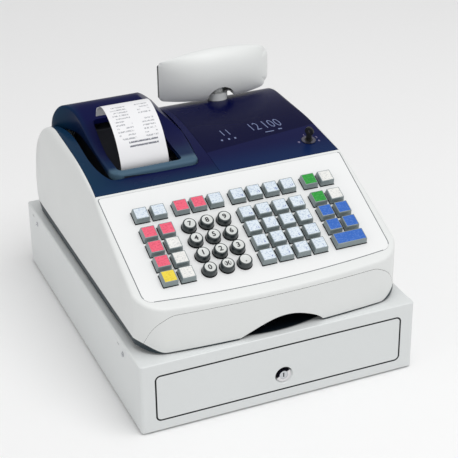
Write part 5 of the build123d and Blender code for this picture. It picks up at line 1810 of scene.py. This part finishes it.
    def mode_key(self) -> bpy.types.Object:
        """The small key that stands in the mode switch: a blade and a pierced bow.

        Returns:
            The key, riding on the switch's rotor.
        """
        tall = self.blade[2]
        deselect_all()
        bpy.ops.mesh.primitive_cylinder_add(vertices=36, radius=self.bow_radius, depth=self.bow_thick,
                                            location=(0, 0, tall + self.bow_radius * self.bow_rise),
                                            rotation=(0, math.pi / 2, 0))
        bow = fresh(bpy.context.object)
        select_faces(bow, lambda centre, normal: abs(normal.x) > FACING)
        bpy.ops.mesh.inset(thickness=self.bow_ring, depth=0.0)
        bpy.ops.mesh.delete(type="FACE")
        bpy.ops.mesh.select_mode(type="EDGE")
        bpy.ops.mesh.select_non_manifold()
        bpy.ops.mesh.bridge_edge_loops()
        deselect_all()
        bpy.ops.mesh.primitive_cube_add(size=1.0, location=(0, 0, tall / 2 + self.blade_foot), scale=self.blade)
        shank = fresh(bpy.context.object)
        for part in (bow, shank):
            soften(part, self.key_round, segments=2)
            set_finish(part, self.finishes.black)
        key = join([bow, shank], "mode_key")
        place = Matrix.Translation(self.switch) @ Matrix.Rotation(math.radians(self.switch_tilt), 4, "X")
        key.data.transform(place @ Matrix.Rotation(math.radians(self.key_turn), 4, "Z"))
        smooth(key, 40)
        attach(key, "mode_rotor")
        return key

    def build(self) -> None:
        """Dress both displays and the mode switch."""
        look = self.finishes
        window = self.smoothed("display_window", look.window, 30)
        self.report(window, "tinted window")
        self.report(self.readout(window), "lit digits")
        self.report(self.switch_legend(window), "switch numbers")
        self.report(self.mode_key(), "mode key")
        self.wrap("display block", look.display_pane, "display_module")
        self.wrap("mode switch", look.switch_ring, "mode_switch")
        self.wrap("rotor", look.black, "mode_rotor")
        self.wrap("post", look.case, "display_post")
        housing = self.smoothed("customer_housing", look.case, 40)
        pane = self.smoothed("customer_window", look.display_pane)
        round_outline([housing, pane], self.housing_corners)
        smooth(housing, 50)
        self.report(housing, "display housing")
        self.report(pane, "dark pane")


# ---------------------------------------------------------------- studio
@dataclass
class Studio:
    """The floor, the lights and the camera."""

    position: tuple[float, float, float] = (-0.5559, -1.3919, 0.9199)
    yaw: float = 22.75
    pitch: float = 28.3
    roll: float = -0.74
    focal_px: float = 1417.8
    frame_px: float = 458.0
    sensor_mm: float = 36.0
    clip: tuple[float, float] = (0.05, 50.0)
    floor_size: float = 14.0
    world_light: float = 0.6
    aim: tuple[float, float, float] = (0, 0, 0.1)

    def camera(self) -> None:
        """Set the camera up at its place."""
        data = bpy.data.cameras.new("camera")
        data.sensor_width = self.sensor_mm
        data.lens = self.sensor_mm * self.focal_px / self.frame_px
        data.clip_start, data.clip_end = self.clip
        camera = bpy.data.objects.new("camera", data)
        bpy.context.scene.collection.objects.link(camera)
        yaw, pitch, roll = (math.radians(v) for v in (self.yaw, self.pitch, self.roll))
        forward = Vector((math.sin(yaw) * math.cos(pitch), math.cos(yaw) * math.cos(pitch), -math.sin(pitch)))
        right = Vector((math.cos(yaw), -math.sin(yaw), 0))
        up = right.cross(forward)
        across = right * math.cos(roll) + up * math.sin(roll)
        above = up * math.cos(roll) - right * math.sin(roll)
        turn = Matrix((across, above, -forward)).transposed().to_4x4()
        camera.matrix_world = Matrix.Translation(Vector(self.position)) @ turn
        bpy.context.scene.camera = camera

    def floor(self) -> None:
        """Lay the floor."""
        deselect_all()
        bpy.ops.mesh.primitive_plane_add(size=self.floor_size, location=(0, 0, 0))
        floor = bpy.context.object
        floor.name = "floor"
        set_finish(floor, StudioFloor().material())

    def lamp(self, name: str, place: tuple[float, float, float], size: float, power: float) -> None:
        """Hang one soft light that points at the register.

        Args:
            name: The light's name.
            place: Where it hangs.
            size: Its side, in metres.
            power: Its power, in watts.
        """
        data = bpy.data.lights.new(name, "AREA")
        data.shape = "SQUARE"
        data.size = size
        data.energy = power
        lamp = bpy.data.objects.new(name, data)
        bpy.context.scene.collection.objects.link(lamp)
        lamp.location = place
        lamp.rotation_euler = (Vector(self.aim) - Vector(place)).to_track_quat("-Z", "Y").to_euler()

    def build(self) -> None:
        """Set up the whole studio."""
        self.camera()
        self.floor()
        world = bpy.data.worlds.new("studio")
        bpy.context.scene.world = world
        world.use_nodes = True
        world.node_tree.nodes["Background"].inputs["Color"].default_value = (1, 1, 1, 1)
        world.node_tree.nodes["Background"].inputs["Strength"].default_value = self.world_light
        self.lamp("key_light", place=(0.45, -0.9, 2.4), size=1.7, power=31.0)
        self.lamp("fill_light", place=(-1.8, -0.6, 1.2), size=1.8, power=3.0)
        bpy.context.scene.view_settings.view_transform = "Standard"


def main() -> None:
    """Build the studio and every sub-assembly, in order."""
    logging.basicConfig(level=logging.INFO, format="%(message)s")
    Studio().build()
    finishes = Finishes()
    for assembly in (DrawerCabinet, RegisterBody, Keyboard, TicketPrinter, Displays):
        log.info("building %s", assembly.__name__)
        assembly(finishes).build()
    deselect_all()


if __name__ == "__main__":
    main()
